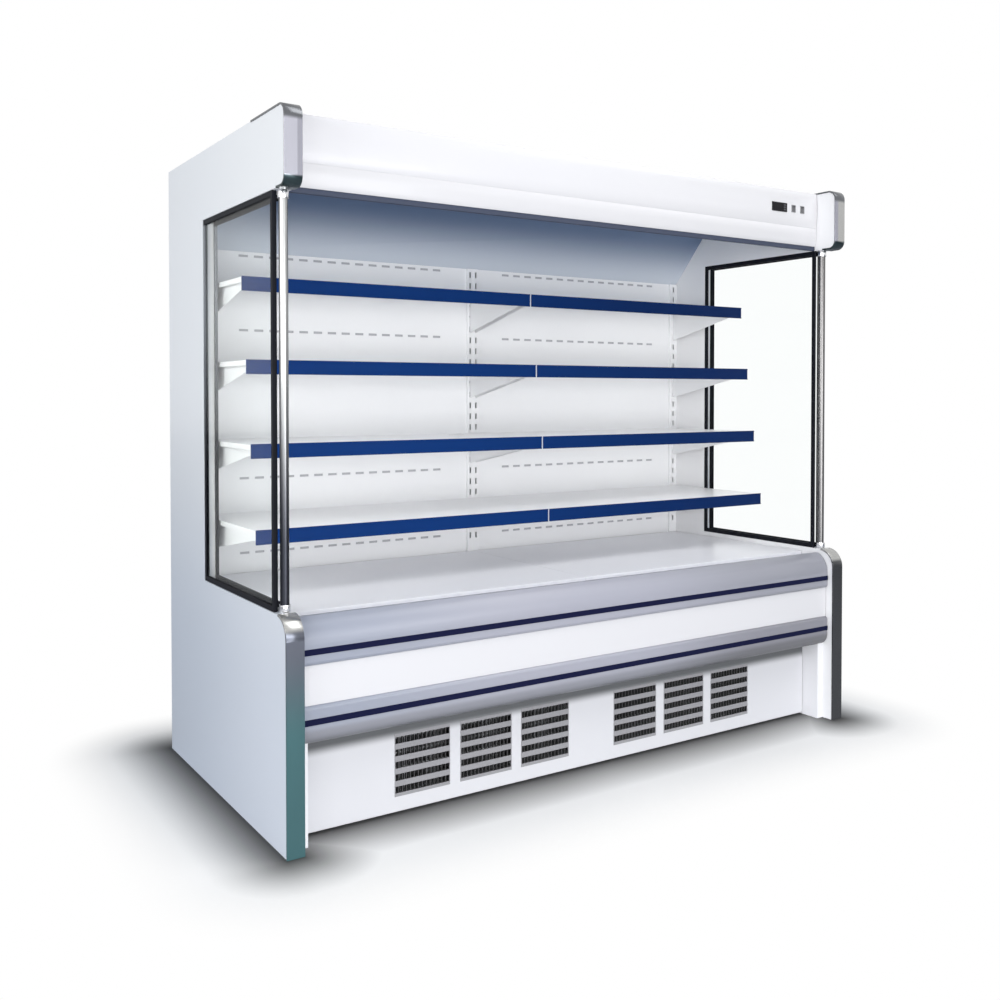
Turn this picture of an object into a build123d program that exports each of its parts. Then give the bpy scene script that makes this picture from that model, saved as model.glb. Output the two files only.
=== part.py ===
"""Open multideck display fridge: a floor case with four shelf levels over a deck.

Right-handed frame, millimetres: X across the case, -Y towards the shopper, Z up.
The origin is the middle of the footprint on the floor. Depths are given as
distances behind the front plane of the end trims and turned into Y by y_at().
"""
from build123d import *
import math
import os

os.makedirs("parts", exist_ok=True)

# ---- driving dimensions -------------------------------------------------
WIDTH = 2230.0
DEPTH = 1060.0
HEIGHT = 2000.0
SIDE = WIDTH / 2
FRONT = -DEPTH / 2

# end panels and the channel trims on their front edges
TRIM_WALL = 2.0
PANEL_THICK = 48.0
PANEL_OUT = SIDE - TRIM_WALL
PANEL_IN = PANEL_OUT - PANEL_THICK
TRIM_IN = PANEL_IN - TRIM_WALL
TRIM_FLANGE = 4.0
TRIM_TOP_RUN = 250.0
TRIM_UNDER_RUN = 62.0
HEAD_TOP_RADIUS = 33.0
HEAD_LOW_RADIUS = 28.0
SHOULDER_RADIUS = 63.0

# glazed opening in each end panel, and the post in front of it
WINDOW_BOTTOM = 642.0
WINDOW_TOP = 1782.0
WINDOW_REAR = 690.0
GLASS_SPAN = (1101.5, 1107.5)
GASKET_SPANS = ((1067.0, 1075.0), (1098.0, 1111.0))
GASKET_WIDTH = 16.0
GASKET_GRIP = 8.0
POST_X = 1086.0
POST_DEPTH = 81.0
POST_RADIUS = 12.5
POST_WALL = 1.5
SOCKET_RADIUS = 16.0
SOCKET_HEIGHT = 22.0
SOCKET_FLOOR = 4.0
SOCKET_CLEARANCE = 0.1

# canopy
ROOF_TOP = 1990.0
ROOF_THICK = 50.0
ROOF_FRONT = 152.0
ROOF_RETURN = 30.0
FASCIA_TOP = 1996.0
FASCIA_SEAM = 1864.5
FASCIA_BOTTOM = 1797.0
FASCIA_DEPTH = 86.0
FASCIA_BULGE = 4.0
SHEET = 2.0
CEILING_Z = 1920.0
CEILING_BEND = 688.0
LIP_HEIGHT = 16.0
LIP_DEPTHS = (98.0, 110.0)

# rear wall, air duct and shelf uprights
REAR_INNER = 1004.0
REAR_OUTER = 1054.0
BACK_DEPTH = 872.0
BACK_BOTTOM = 610.0
BACK_TOP = 1719.0
UPRIGHT_FACE = 862.0
UPRIGHT_DEEP = 30.0
CENTRE_HALF = 25.0
END_UPRIGHT = 40.0
SLOT_COLUMN_CENTRE = 13.0
SLOT_COLUMN_END = 1045.0
SLOT_WIDE = 6.0
SLOT_TALL = 22.0

# shelves, from the top one down
SHELF_TOP = 1588.0
SHELF_PITCH = 252.5
SHELF_FRONTS = (471.0, 435.0, 398.0, 360.0)
SHELF_REAR = 860.0
SHELF_SIDE = 1061.0
RAIL_TALL = 44.0
RAIL_THICK = 4.0
BRACKET_THICK = 3.0
BRACKET_REAR_DROP = 114.0
BRACKET_FRONT_DROP = 24.0
SLOT_PITCH = SHELF_PITCH / 6

# base
DECK_TOP = 624.0
TUB_BOTTOM = 400.0
TUB_FLOOR = 440.0
TUB_WALL_FRONT = 48.0
TUB_WALL_REAR = 98.0
TUB_RIM = 606.0
SUPPORT_TOP = 592.0
BUMPER_TOP = 627.5
BUMPER_NOSE = 27.0
UPPER_BUMPER_BOTTOM = 499.5
LOWER_BUMPER_TOP = 390.5
LIP_BOTTOM = 274.0
STRIPE_UPPER = (528.5, 545.5)
STRIPE_LOWER = (338.0, 355.0)
FRONT_PANEL_DEPTH = 35.0
KICK_DEPTH = 120.0
KICK_TOP = 272.0
KICK_BOTTOM = 8.0
FRAME_SIDE_IN = 1035.0
VENT_WIDE = 188.0
VENT_PITCH = 225.0
VENT_GROUP_X = 414.0
VENT_BOTTOM = 51.0
VENT_TOP = 237.0
VENT_SLOTS = 5
VENT_FINS = 13

# controls on the canopy
CONTROL_Z = 1928.0
DISPLAY_X = 854.0
DISPLAY_WIDE = 80.0
DISPLAY_TALL = 33.0
SWITCH_XS = (930.0, 978.0)
SWITCH_WIDE = 21.0
SWITCH_TALL = 27.0
ROCKER_WIDE = 15.0
ROCKER_TALL = 20.0
ROCKER_TILT = 8.0
ROCKER_AXIS_DEPTH = FASCIA_DEPTH + 7
ROCKER_PIN_RADIUS = 1.5

# fans: centre, blade radius
CONDENSER_FAN = (-410.0, 285.0, 175.0)
CONDENSER_FAN_RADIUS = 118.0
EVAPORATOR_FAN_XS = (-520.0, 520.0)
EVAPORATOR_FAN_DEPTH = 332.0
EVAPORATOR_FAN_Z = 500.0
EVAPORATOR_FAN_RADIUS = 50.0
SHAFT_RADIUS = 4.0
SHAFT_CLEARANCE = 0.05


# ---- shared drawing steps -----------------------------------------------
def y_at(depth):
    """Y of a point that lies this far behind the front plane."""
    return FRONT + depth


def slab(x, depth, z, mode=Mode.ADD):
    """A box between two X values, two depths and two heights."""
    with Locations(((x[0] + x[1]) / 2, y_at((depth[0] + depth[1]) / 2), (z[0] + z[1]) / 2)):
        Box(x[1] - x[0], depth[1] - depth[0], z[1] - z[0], mode=mode)


def patch(depth, z, mode=Mode.ADD):
    """A rectangle in a side-view sketch between two depths and two heights."""
    with Locations((y_at((depth[0] + depth[1]) / 2), (z[0] + z[1]) / 2)):
        Rectangle(depth[1] - depth[0], z[1] - z[0], mode=mode)


def side_span(side, inner, outer):
    """Lowest X and width of a layer of the left (-1) or right (1) end."""
    return min(side * inner, side * outer), outer - inner


def pair(side, inner, outer):
    """The layer of one end as an (X low, X high) pair."""
    low, thick = side_span(side, inner, outer)
    return low, low + thick


def save(part, name):
    part.label = name
    export_step(part, f"parts/{name}.step")


# ---- end panels ---------------------------------------------------------
def end_panel(side):
    """Foamed sheet-steel end: base and head joined by a rear stile."""
    low, thick = side_span(side, PANEL_IN, PANEL_OUT)
    with BuildPart() as panel:
        with BuildSketch(Plane.YZ.offset(low)) as base:
            patch((TRIM_WALL, DEPTH), (0, WINDOW_BOTTOM))
            fillet(base.vertices().group_by(Axis.X)[0].sort_by(Axis.Y)[-1], SHOULDER_RADIUS)
        extrude(amount=thick)
        with BuildSketch(Plane.YZ.offset(low)) as head:
            patch((TRIM_WALL, DEPTH), (WINDOW_TOP, HEIGHT - TRIM_WALL))
            fillet(head.vertices().group_by(Axis.X)[0].sort_by(Axis.Y)[-1], HEAD_TOP_RADIUS)
            fillet(head.vertices().sort_by(Axis.Y)[:2].sort_by(Axis.X)[0], HEAD_LOW_RADIUS)
        extrude(amount=thick)
        slab((low, low + thick), (WINDOW_REAR, DEPTH), (WINDOW_BOTTOM, WINDOW_TOP))
    return panel.part


save(end_panel(-1), "left_end_panel")
save(end_panel(1), "right_end_panel")

# ---- edge trims: shallow channels that cap the front edges -----------------
BANDS = ((TRIM_WALL, Mode.ADD), (-TRIM_FLANGE, Mode.SUBTRACT))

with BuildPart() as upper_edge_trims:
    for end in (-1, 1):
        for grow, step in BANDS:
            trim_low, trim_wide = side_span(end, TRIM_IN, SIDE)
            with BuildSketch(Plane.YZ.offset(trim_low)) as head_band:
                patch((TRIM_WALL - grow, TRIM_TOP_RUN),
                      (WINDOW_TOP - grow, HEIGHT - TRIM_WALL + grow))
                fillet(head_band.vertices().group_by(Axis.X)[0].sort_by(Axis.Y)[-1],
                       HEAD_TOP_RADIUS + grow)
                fillet(head_band.vertices().sort_by(Axis.Y)[:2].sort_by(Axis.X)[0],
                       HEAD_LOW_RADIUS + grow)
            extrude(amount=trim_wide, mode=step)
        panel_low, panel_wide = side_span(end, PANEL_IN, PANEL_OUT)
        with BuildSketch(Plane.YZ.offset(panel_low)) as head_core:
            patch((TRIM_WALL, TRIM_TOP_RUN), (WINDOW_TOP, HEIGHT - TRIM_WALL))
            fillet(head_core.vertices().group_by(Axis.X)[0].sort_by(Axis.Y)[-1], HEAD_TOP_RADIUS)
            fillet(head_core.vertices().sort_by(Axis.Y)[:2].sort_by(Axis.X)[0], HEAD_LOW_RADIUS)
        extrude(amount=panel_wide, mode=Mode.SUBTRACT)
        slab(pair(end, TRIM_IN, SIDE), (TRIM_UNDER_RUN, TRIM_TOP_RUN),
             (WINDOW_TOP - TRIM_WALL, HEIGHT - 2 * HEAD_LOW_RADIUS), Mode.SUBTRACT)
save(upper_edge_trims.part, "upper_edge_trims")

with BuildPart() as lower_edge_trims:
    for end in (-1, 1):
        for grow, step in BANDS:
            trim_low, trim_wide = side_span(end, TRIM_IN, SIDE)
            with BuildSketch(Plane.YZ.offset(trim_low)) as base_band:
                patch((TRIM_WALL - grow, TRIM_UNDER_RUN + SHOULDER_RADIUS),
                      (0, WINDOW_BOTTOM + grow))
                fillet(base_band.vertices().group_by(Axis.X)[0].sort_by(Axis.Y)[-1],
                       SHOULDER_RADIUS + grow)
            extrude(amount=trim_wide, mode=step)
        panel_low, panel_wide = side_span(end, PANEL_IN, PANEL_OUT)
        with BuildSketch(Plane.YZ.offset(panel_low)) as base_core:
            patch((TRIM_WALL, TRIM_UNDER_RUN + SHOULDER_RADIUS), (0, WINDOW_BOTTOM))
            fillet(base_core.vertices().group_by(Axis.X)[0].sort_by(Axis.Y)[-1], SHOULDER_RADIUS)
        extrude(amount=panel_wide, mode=Mode.SUBTRACT)
        slab(pair(end, TRIM_IN, SIDE), (TRIM_UNDER_RUN, TRIM_UNDER_RUN + SHOULDER_RADIUS),
             (0, WINDOW_BOTTOM + TRIM_WALL), Mode.SUBTRACT)
save(lower_edge_trims.part, "lower_edge_trims")

# ---- end glazing ----------------------------------------------------------
GASKET_FRONT = POST_DEPTH + SOCKET_RADIUS + 1.0
GLASS_FRONT = GASKET_FRONT + GASKET_WIDTH - GASKET_GRIP
GLASS_REAR = WINDOW_REAR - GASKET_WIDTH + GASKET_GRIP
GLASS_BOTTOM = WINDOW_BOTTOM + GASKET_WIDTH - GASKET_GRIP
GLASS_TOP = WINDOW_TOP - GASKET_WIDTH + GASKET_GRIP


def glass_layer(end, mode):
    slab(pair(end, *GLASS_SPAN), (GLASS_FRONT, GLASS_REAR), (GLASS_BOTTOM, GLASS_TOP), mode)


with BuildPart() as window_glass:
    for end in (-1, 1):
        glass_layer(end, Mode.ADD)
save(window_glass.part, "window_glass")

with BuildPart() as window_gaskets:
    for end in (-1, 1):
        for span in GASKET_SPANS:
            layer = pair(end, *span)
            slab(layer, (GASKET_FRONT, WINDOW_REAR), (WINDOW_BOTTOM, WINDOW_TOP))
            slab(layer, (GASKET_FRONT + GASKET_WIDTH, WINDOW_REAR - GASKET_WIDTH),
                 (WINDOW_BOTTOM + GASKET_WIDTH, WINDOW_TOP - GASKET_WIDTH), Mode.SUBTRACT)
        glass_layer(end, Mode.SUBTRACT)
save(window_gaskets.part, "window_gaskets")

POST_BOTTOM = WINDOW_BOTTOM + SOCKET_FLOOR
POST_LENGTH = WINDOW_TOP - WINDOW_BOTTOM - 2 * SOCKET_FLOOR
POST_PLACES = [(end * POST_X, y_at(POST_DEPTH)) for end in (-1, 1)]

with BuildPart() as front_posts:
    with BuildSketch(Plane.XY.offset(POST_BOTTOM)):
        with Locations(*POST_PLACES):
            Circle(POST_RADIUS)
            Circle(POST_RADIUS - POST_WALL, mode=Mode.SUBTRACT)
    extrude(amount=POST_LENGTH)
save(front_posts.part, "front_posts")

with BuildPart() as post_sockets:
    for cup_bottom, bore_bottom in ((WINDOW_BOTTOM, WINDOW_BOTTOM + SOCKET_FLOOR),
                                    (WINDOW_TOP - SOCKET_HEIGHT, WINDOW_TOP - SOCKET_HEIGHT)):
        with BuildSketch(Plane.XY.offset(cup_bottom)):
            with Locations(*POST_PLACES):
                Circle(SOCKET_RADIUS)
        extrude(amount=SOCKET_HEIGHT)
        with BuildSketch(Plane.XY.offset(bore_bottom)):
            with Locations(*POST_PLACES):
                Circle(POST_RADIUS + SOCKET_CLEARANCE)
        extrude(amount=SOCKET_HEIGHT - SOCKET_FLOOR, mode=Mode.SUBTRACT)
save(post_sockets.part, "post_sockets")

# ---- insulated rear wall and roof ----------------------------------------
REAR_BOTTOM = 20.0
with BuildPart() as rear_panel:
    slab((-PANEL_IN, PANEL_IN), (REAR_INNER, REAR_OUTER), (REAR_BOTTOM, ROOF_TOP - ROOF_THICK))
save(rear_panel.part, "rear_panel")

GLAND_X = 900.0
GLAND_Z = 150.0
GLAND_RADIUS = 14.0
GLAND_BORE = 5.0
with BuildPart() as power_gland:
    with BuildSketch(Plane.XZ.offset(-y_at(REAR_OUTER))):
        with Locations((GLAND_X, GLAND_Z)):
            RegularPolygon(GLAND_RADIUS, 6)
            Circle(GLAND_BORE, mode=Mode.SUBTRACT)
    extrude(amount=-(DEPTH - REAR_OUTER))
save(power_gland.part, "power_gland")

with BuildPart() as roof_panel:
    slab((-TRIM_IN, TRIM_IN), (ROOF_FRONT, REAR_OUTER), (ROOF_TOP - ROOF_THICK, ROOF_TOP))
save(roof_panel.part, "roof_panel")

# ---- canopy fascia ---------------------------------------------------------
CASE_PLANE = Plane.YZ.offset(-TRIM_IN)
DISPLAY_SPAN = (DISPLAY_X - DISPLAY_WIDE / 2, DISPLAY_X + DISPLAY_WIDE / 2)
DISPLAY_HEIGHTS = (CONTROL_Z - DISPLAY_TALL / 2, CONTROL_Z + DISPLAY_TALL / 2)
SWITCH_HEIGHTS = (CONTROL_Z - SWITCH_TALL / 2, CONTROL_Z + SWITCH_TALL / 2)
CONTROL_BODY = (FASCIA_DEPTH - 2, FASCIA_DEPTH + 26)
CONTROL_CUT = (0, FASCIA_DEPTH + 32)


def switch_span(centre, wide):
    return centre - wide / 2, centre + wide / 2


EDGE_DEPTH = FASCIA_DEPTH + FASCIA_BULGE

with BuildPart() as canopy_fascia:
    mid_z = (FASCIA_TOP + FASCIA_SEAM) / 2
    with BuildSketch(CASE_PLANE):
        with BuildLine():
            ThreePointArc((y_at(EDGE_DEPTH), FASCIA_SEAM), (y_at(FASCIA_DEPTH), mid_z),
                          (y_at(EDGE_DEPTH), FASCIA_TOP))
            Polyline((y_at(EDGE_DEPTH), FASCIA_TOP), (y_at(ROOF_FRONT), FASCIA_TOP),
                     (y_at(ROOF_FRONT), FASCIA_TOP - ROOF_RETURN),
                     (y_at(ROOF_FRONT - SHEET), FASCIA_TOP - ROOF_RETURN),
                     (y_at(ROOF_FRONT - SHEET), FASCIA_TOP - SHEET),
                     (y_at(EDGE_DEPTH + SHEET), FASCIA_TOP - SHEET))
            ThreePointArc((y_at(EDGE_DEPTH + SHEET), FASCIA_TOP - SHEET),
                          (y_at(FASCIA_DEPTH + SHEET), mid_z),
                          (y_at(EDGE_DEPTH + SHEET), FASCIA_SEAM))
            Line((y_at(EDGE_DEPTH + SHEET), FASCIA_SEAM), (y_at(EDGE_DEPTH), FASCIA_SEAM))
        make_face()
    extrude(amount=2 * TRIM_IN)
    slab(DISPLAY_SPAN, CONTROL_CUT, DISPLAY_HEIGHTS, Mode.SUBTRACT)
    for switch_x in SWITCH_XS:
        slab(switch_span(switch_x, SWITCH_WIDE), CONTROL_CUT, SWITCH_HEIGHTS, Mode.SUBTRACT)
save(canopy_fascia.part, "canopy_fascia")

STRIP_THICK = 10.0
STRIP_LEDGE_TALL = 4.0
STRIP_FOOT = EDGE_DEPTH + 5
STRIP_SWELL = (EDGE_DEPTH - 0.5, FASCIA_SEAM - 33)
OUTLET_FRONT = 130.0
OUTLET_REAR = 230.0
with BuildPart() as fascia_lower_strip:
    with BuildSketch(CASE_PLANE):
        with BuildLine():
            ThreePointArc((y_at(EDGE_DEPTH), FASCIA_SEAM), (y_at(STRIP_SWELL[0]), STRIP_SWELL[1]),
                          (y_at(STRIP_FOOT), FASCIA_BOTTOM))
            Polyline((y_at(STRIP_FOOT), FASCIA_BOTTOM), (y_at(OUTLET_FRONT), FASCIA_BOTTOM),
                     (y_at(OUTLET_FRONT), FASCIA_BOTTOM + STRIP_LEDGE_TALL),
                     (y_at(STRIP_FOOT + STRIP_THICK), FASCIA_BOTTOM + STRIP_LEDGE_TALL),
                     (y_at(EDGE_DEPTH + STRIP_THICK), FASCIA_SEAM), (y_at(EDGE_DEPTH), FASCIA_SEAM))
        make_face()
    extrude(amount=2 * TRIM_IN)
save(fascia_lower_strip.part, "fascia_lower_strip")

LIP_ROUND = 4.0
with BuildPart() as canopy_lip_seal:
    slab((-TRIM_IN, TRIM_IN), LIP_DEPTHS, (FASCIA_BOTTOM - LIP_HEIGHT, FASCIA_BOTTOM))
    long_edges = canopy_lip_seal.edges().filter_by(Axis.X).group_by(Axis.Z)[0]
    fillet(long_edges, LIP_ROUND)
save(canopy_lip_seal.part, "canopy_lip_seal")

# ---- ceiling, air outlet and lamp ------------------------------------------
OUTLET_TALL = 24.0
OUTLET_CELLS = 56
OUTLET_CELL_PITCH = 37.0
OUTLET_CELL_DEEP = 40.0
OUTLET_WALL = 4.0

with BuildPart() as air_outlet_grille:
    slab((-PANEL_IN, PANEL_IN), (OUTLET_FRONT, OUTLET_REAR), (CEILING_Z - OUTLET_TALL, CEILING_Z))
    slab((-TRIM_IN, TRIM_IN), (OUTLET_FRONT, OUTLET_FRONT + SHEET),
         (FASCIA_BOTTOM, CEILING_Z))
    with BuildSketch(Plane.XY.offset(CEILING_Z - OUTLET_TALL)):
        with Locations((0, y_at((OUTLET_FRONT + OUTLET_REAR) / 2))):
            with GridLocations(OUTLET_CELL_PITCH, OUTLET_CELL_DEEP + OUTLET_WALL, OUTLET_CELLS, 2):
                Rectangle(OUTLET_CELL_PITCH - OUTLET_WALL, OUTLET_CELL_DEEP)
    extrude(amount=OUTLET_TALL, mode=Mode.SUBTRACT)
save(air_outlet_grille.part, "air_outlet_grille")

LAMP_LENGTH = 1000.0
LAMP_INNER = 30.0
LAMP_CAP = 12.0
LAMP_TUBE_DEPTH = OUTLET_FRONT - 14
LAMP_TUBE_RADIUS = 10.0
LAMP_HEIGHTS = (CEILING_Z - 44, CEILING_Z - 16)
with BuildPart() as canopy_lamp:
    for end in (-1, 1):
        lamp_x = pair(end, LAMP_INNER, LAMP_INNER + LAMP_LENGTH)
        slab(lamp_x, (LAMP_TUBE_DEPTH + 6, OUTLET_FRONT), LAMP_HEIGHTS)
        with BuildSketch(Plane.YZ.offset(lamp_x[0] + LAMP_CAP / 2)):
            with Locations((y_at(LAMP_TUBE_DEPTH), sum(LAMP_HEIGHTS) / 2)):
                Circle(LAMP_TUBE_RADIUS)
        extrude(amount=LAMP_LENGTH - LAMP_CAP)
        for cap_x in (lamp_x[0], lamp_x[1] - LAMP_CAP):
            slab((cap_x, cap_x + LAMP_CAP), (LAMP_TUBE_DEPTH - LAMP_TUBE_RADIUS, LAMP_TUBE_DEPTH + 8),
                 LAMP_HEIGHTS)
save(canopy_lamp.part, "canopy_lamp")

with BuildPart() as ceiling_panel:
    with BuildSketch(Plane.YZ.offset(-PANEL_IN)):
        with BuildLine():
            Polyline((y_at(OUTLET_REAR), CEILING_Z - SHEET), (y_at(CEILING_BEND), CEILING_Z - SHEET),
                     (y_at(BACK_DEPTH - 2 * SHEET), BACK_TOP), (y_at(BACK_DEPTH), BACK_TOP),
                     (y_at(BACK_DEPTH), BACK_TOP + SHEET),
                     (y_at(CEILING_BEND + SHEET), CEILING_Z), (y_at(OUTLET_REAR), CEILING_Z),
                     close=True)
        make_face()
    extrude(amount=2 * PANEL_IN)
    slab((-PANEL_IN, PANEL_IN), (OUTLET_REAR, OUTLET_REAR + SHEET),
         (CEILING_Z - SHEET, ROOF_TOP - ROOF_THICK))
save(ceiling_panel.part, "ceiling_panel")

# ---- controls ----------------------------------------------------------------
with BuildPart() as controller_display:
    slab(DISPLAY_SPAN, CONTROL_BODY, DISPLAY_HEIGHTS)
    bezel = controller_display.faces().sort_by(Axis.Y)[0]
    fillet(bezel.edges(), 1)
save(controller_display.part, "controller_display")

ROCKER_GAP = 0.5
ROCKER_WELL = (CONTROL_BODY[0], CONTROL_BODY[0] + 18)
with BuildPart() as switch_bezels:
    for switch_x in SWITCH_XS:
        slab(switch_span(switch_x, SWITCH_WIDE), CONTROL_BODY, SWITCH_HEIGHTS)
        slab(switch_span(switch_x, ROCKER_WIDE + 2 * ROCKER_GAP), ROCKER_WELL,
             (CONTROL_Z - ROCKER_TALL / 2 - 2 * ROCKER_GAP, CONTROL_Z + ROCKER_TALL / 2 + 2 * ROCKER_GAP),
             Mode.SUBTRACT)
    for switch_x in SWITCH_XS:
        with BuildSketch(Plane.YZ.offset(switch_x - ROCKER_WIDE / 2 - ROCKER_GAP)):
            with Locations((y_at(ROCKER_AXIS_DEPTH), CONTROL_Z)):
                Circle(ROCKER_PIN_RADIUS)
        extrude(amount=ROCKER_WIDE + 2 * ROCKER_GAP)
save(switch_bezels.part, "switch_bezels")

ROCKER_NOSE = 10.5
ROCKER_DISH = 1.2
ROCKER_HIP = 3.0
ROCKER_TAIL = 4.0
ROCKER_HALF = ROCKER_TALL / 2 - 1
for name, switch_x in (("lamp_switch_rocker", SWITCH_XS[0]), ("fan_switch_rocker", SWITCH_XS[1])):
    tilted = Plane(origin=(switch_x - ROCKER_WIDE / 2, y_at(ROCKER_AXIS_DEPTH), CONTROL_Z),
                   x_dir=(0, math.cos(math.radians(ROCKER_TILT)), math.sin(math.radians(ROCKER_TILT))),
                   z_dir=(1, 0, 0))
    with BuildPart() as rocker:
        with BuildSketch(tilted):
            with BuildLine():
                ThreePointArc((-ROCKER_NOSE, -ROCKER_HALF), (-ROCKER_NOSE + ROCKER_DISH, 0),
                              (-ROCKER_NOSE, ROCKER_HALF))
                Polyline((-ROCKER_NOSE, ROCKER_HALF), (-ROCKER_HIP, ROCKER_HALF),
                         (ROCKER_HIP, ROCKER_TAIL), (ROCKER_HIP, -ROCKER_TAIL),
                         (-ROCKER_HIP, -ROCKER_HALF), (-ROCKER_NOSE, -ROCKER_HALF))
            make_face()
            Circle(ROCKER_PIN_RADIUS + SHAFT_CLEARANCE, mode=Mode.SUBTRACT)
        extrude(amount=ROCKER_WIDE)
    save(rocker.part, name)

# ---- rear duct wall and shelf uprights -------------------------------------
BACK_SLOT_COUNT = 15
BACK_SLOT_PITCH = 54.0
BACK_SLOT_SIZE = (33.0, 8.0)
BACK_SLOT_CENTRE = 535.0
BACK_SLOT_HEIGHTS = (1705.0, 1452.0, 946.0, 690.0)
END_FACE = PANEL_IN - END_UPRIGHT

with BuildPart() as back_panels:
    for end in (-1, 1):
        slab(pair(end, CENTRE_HALF, END_FACE), (BACK_DEPTH, BACK_DEPTH + SHEET),
             (BACK_BOTTOM, BACK_TOP))
    with BuildSketch(Plane.XZ.offset(-y_at(BACK_DEPTH))):
        for slot_z in BACK_SLOT_HEIGHTS:
            for end in (-1, 1):
                with Locations((end * BACK_SLOT_CENTRE, slot_z)):
                    with GridLocations(BACK_SLOT_PITCH, 1, BACK_SLOT_COUNT, 1):
                        Rectangle(*BACK_SLOT_SIZE)
    extrude(amount=-SHEET, mode=Mode.SUBTRACT)
save(back_panels.part, "back_panels")

UPRIGHT_BOTTOM = TUB_FLOOR
UPRIGHT_TOP = BACK_TOP
LOWEST_SLOT = SHELF_TOP - 3 * SHELF_PITCH - 3 * SLOT_PITCH
SLOT_ROWS = 25
SLOT_FOOT = 30.0
STANDOFF_BOTTOMS = (500.0, 1050.0, 1600.0)
STANDOFF_TALL = 40.0
STANDOFF_FRONT = UPRIGHT_FACE + 18

with BuildPart() as shelf_uprights:
    for span in ((-PANEL_IN, -END_FACE), (-CENTRE_HALF, CENTRE_HALF), (END_FACE, PANEL_IN)):
        slab(span, (UPRIGHT_FACE, UPRIGHT_FACE + UPRIGHT_DEEP), (UPRIGHT_BOTTOM, UPRIGHT_TOP))
        slab((span[0] + SHEET, span[1] - SHEET), (UPRIGHT_FACE + SHEET, UPRIGHT_FACE + UPRIGHT_DEEP),
             (UPRIGHT_BOTTOM, UPRIGHT_TOP), Mode.SUBTRACT)
        for standoff_z in STANDOFF_BOTTOMS:
            slab((span[0] + SHEET, span[1] - SHEET), (STANDOFF_FRONT, REAR_INNER),
                 (standoff_z, standoff_z + STANDOFF_TALL))
    with BuildSketch(Plane.XZ.offset(-y_at(UPRIGHT_FACE))):
        for column in (-SLOT_COLUMN_END, -SLOT_COLUMN_CENTRE, SLOT_COLUMN_CENTRE, SLOT_COLUMN_END):
            for row in range(SLOT_ROWS):
                slot_z = LOWEST_SLOT - SLOT_FOOT + row * SLOT_PITCH
                with Locations((column, slot_z + SLOT_TALL / 2)):
                    Rectangle(SLOT_WIDE, SLOT_TALL)
    extrude(amount=-SHEET, mode=Mode.SUBTRACT)
save(shelf_uprights.part, "shelf_uprights")

# ---- shelf brackets, trays and price rails ---------------------------------
HOOK_TALL = 14.0
HOOK_REACH = 9.0
HOOK_DROP = 5.0
TOE_GAP = 0.5
TRAY_LIP = 34.0
TRAY_SIDE_LIP = 16.0
TRAY_GAP = 1.0
RAIL_GAP = 3.0
RAIL_GROOVE = 1.2
RAIL_ABOVE = 2.0
RAIL_LEDGE = 4.0

with BuildPart() as shelf_brackets:
    for level, shelf_front in enumerate(SHELF_FRONTS):
        seat = SHELF_TOP - level * SHELF_PITCH - SHEET
        toe = y_at(shelf_front + RAIL_THICK + SHEET + TOE_GAP)
        heel = y_at(UPRIGHT_FACE)
        for column in (-SLOT_COLUMN_END, -SLOT_COLUMN_CENTRE, SLOT_COLUMN_CENTRE, SLOT_COLUMN_END):
            with BuildSketch(Plane.YZ.offset(column - BRACKET_THICK / 2)):
                with BuildLine():
                    Polyline((toe, seat), (heel, seat), (heel, seat - BRACKET_REAR_DROP),
                             (toe, seat - BRACKET_FRONT_DROP), close=True)
                make_face()
            extrude(amount=BRACKET_THICK)
            for slot_down in (1, 2):
                foot = seat + SHEET - SLOT_FOOT - (slot_down - 1) * SLOT_PITCH
                plate = (column - BRACKET_THICK / 2, column + BRACKET_THICK / 2)
                slab(plate, (UPRIGHT_FACE - 1, UPRIGHT_FACE + HOOK_REACH), (foot, foot + HOOK_TALL))
                slab(plate, (UPRIGHT_FACE + SHEET + 0.5, UPRIGHT_FACE + HOOK_REACH),
                     (foot - HOOK_DROP, foot))
save(shelf_brackets.part, "shelf_brackets")

for level, shelf_front in enumerate(SHELF_FRONTS):
    top = SHELF_TOP - level * SHELF_PITCH
    for end, bay in ((-1, "left"), (1, "right")):
        number = level + 1
        span = pair(end, TRAY_GAP, SHELF_SIDE)
        lip = shelf_front + RAIL_THICK
        with BuildPart() as tray:
            slab(span, (lip, SHELF_REAR), (top - SHEET, top))
            slab(span, (lip, lip + SHEET), (top - TRAY_LIP, top))
            slab(span, (SHELF_REAR - SHEET, SHELF_REAR), (top - SHEET, top + SHEET))
            for edge in (span[0], span[1] - SHEET):
                slab((edge, edge + SHEET), (lip, SHELF_REAR), (top - TRAY_SIDE_LIP, top))
        save(tray.part, f"{bay}_shelf_tray_{number}")

        rail_span = pair(end, RAIL_GAP, SHELF_SIDE)
        rail_top = top + RAIL_ABOVE
        with BuildPart() as rail:
            slab(rail_span, (shelf_front, lip), (rail_top - RAIL_TALL, rail_top))
            slab(rail_span, (shelf_front, shelf_front + RAIL_GROOVE),
                 (rail_top - RAIL_TALL + RAIL_LEDGE, rail_top - RAIL_LEDGE), Mode.SUBTRACT)
        save(rail.part, f"{bay}_price_rail_{number}")

# ---- insulated tub and deck ----------------------------------------------------
with BuildPart() as base_tub:
    slab((-TRIM_IN, TRIM_IN), (TUB_WALL_FRONT, REAR_INNER), (TUB_BOTTOM, TUB_FLOOR))
    slab((-TRIM_IN, TRIM_IN), (TUB_WALL_FRONT, TUB_WALL_REAR), (TUB_FLOOR, TUB_RIM))
save(base_tub.part, "base_tub")

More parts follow.
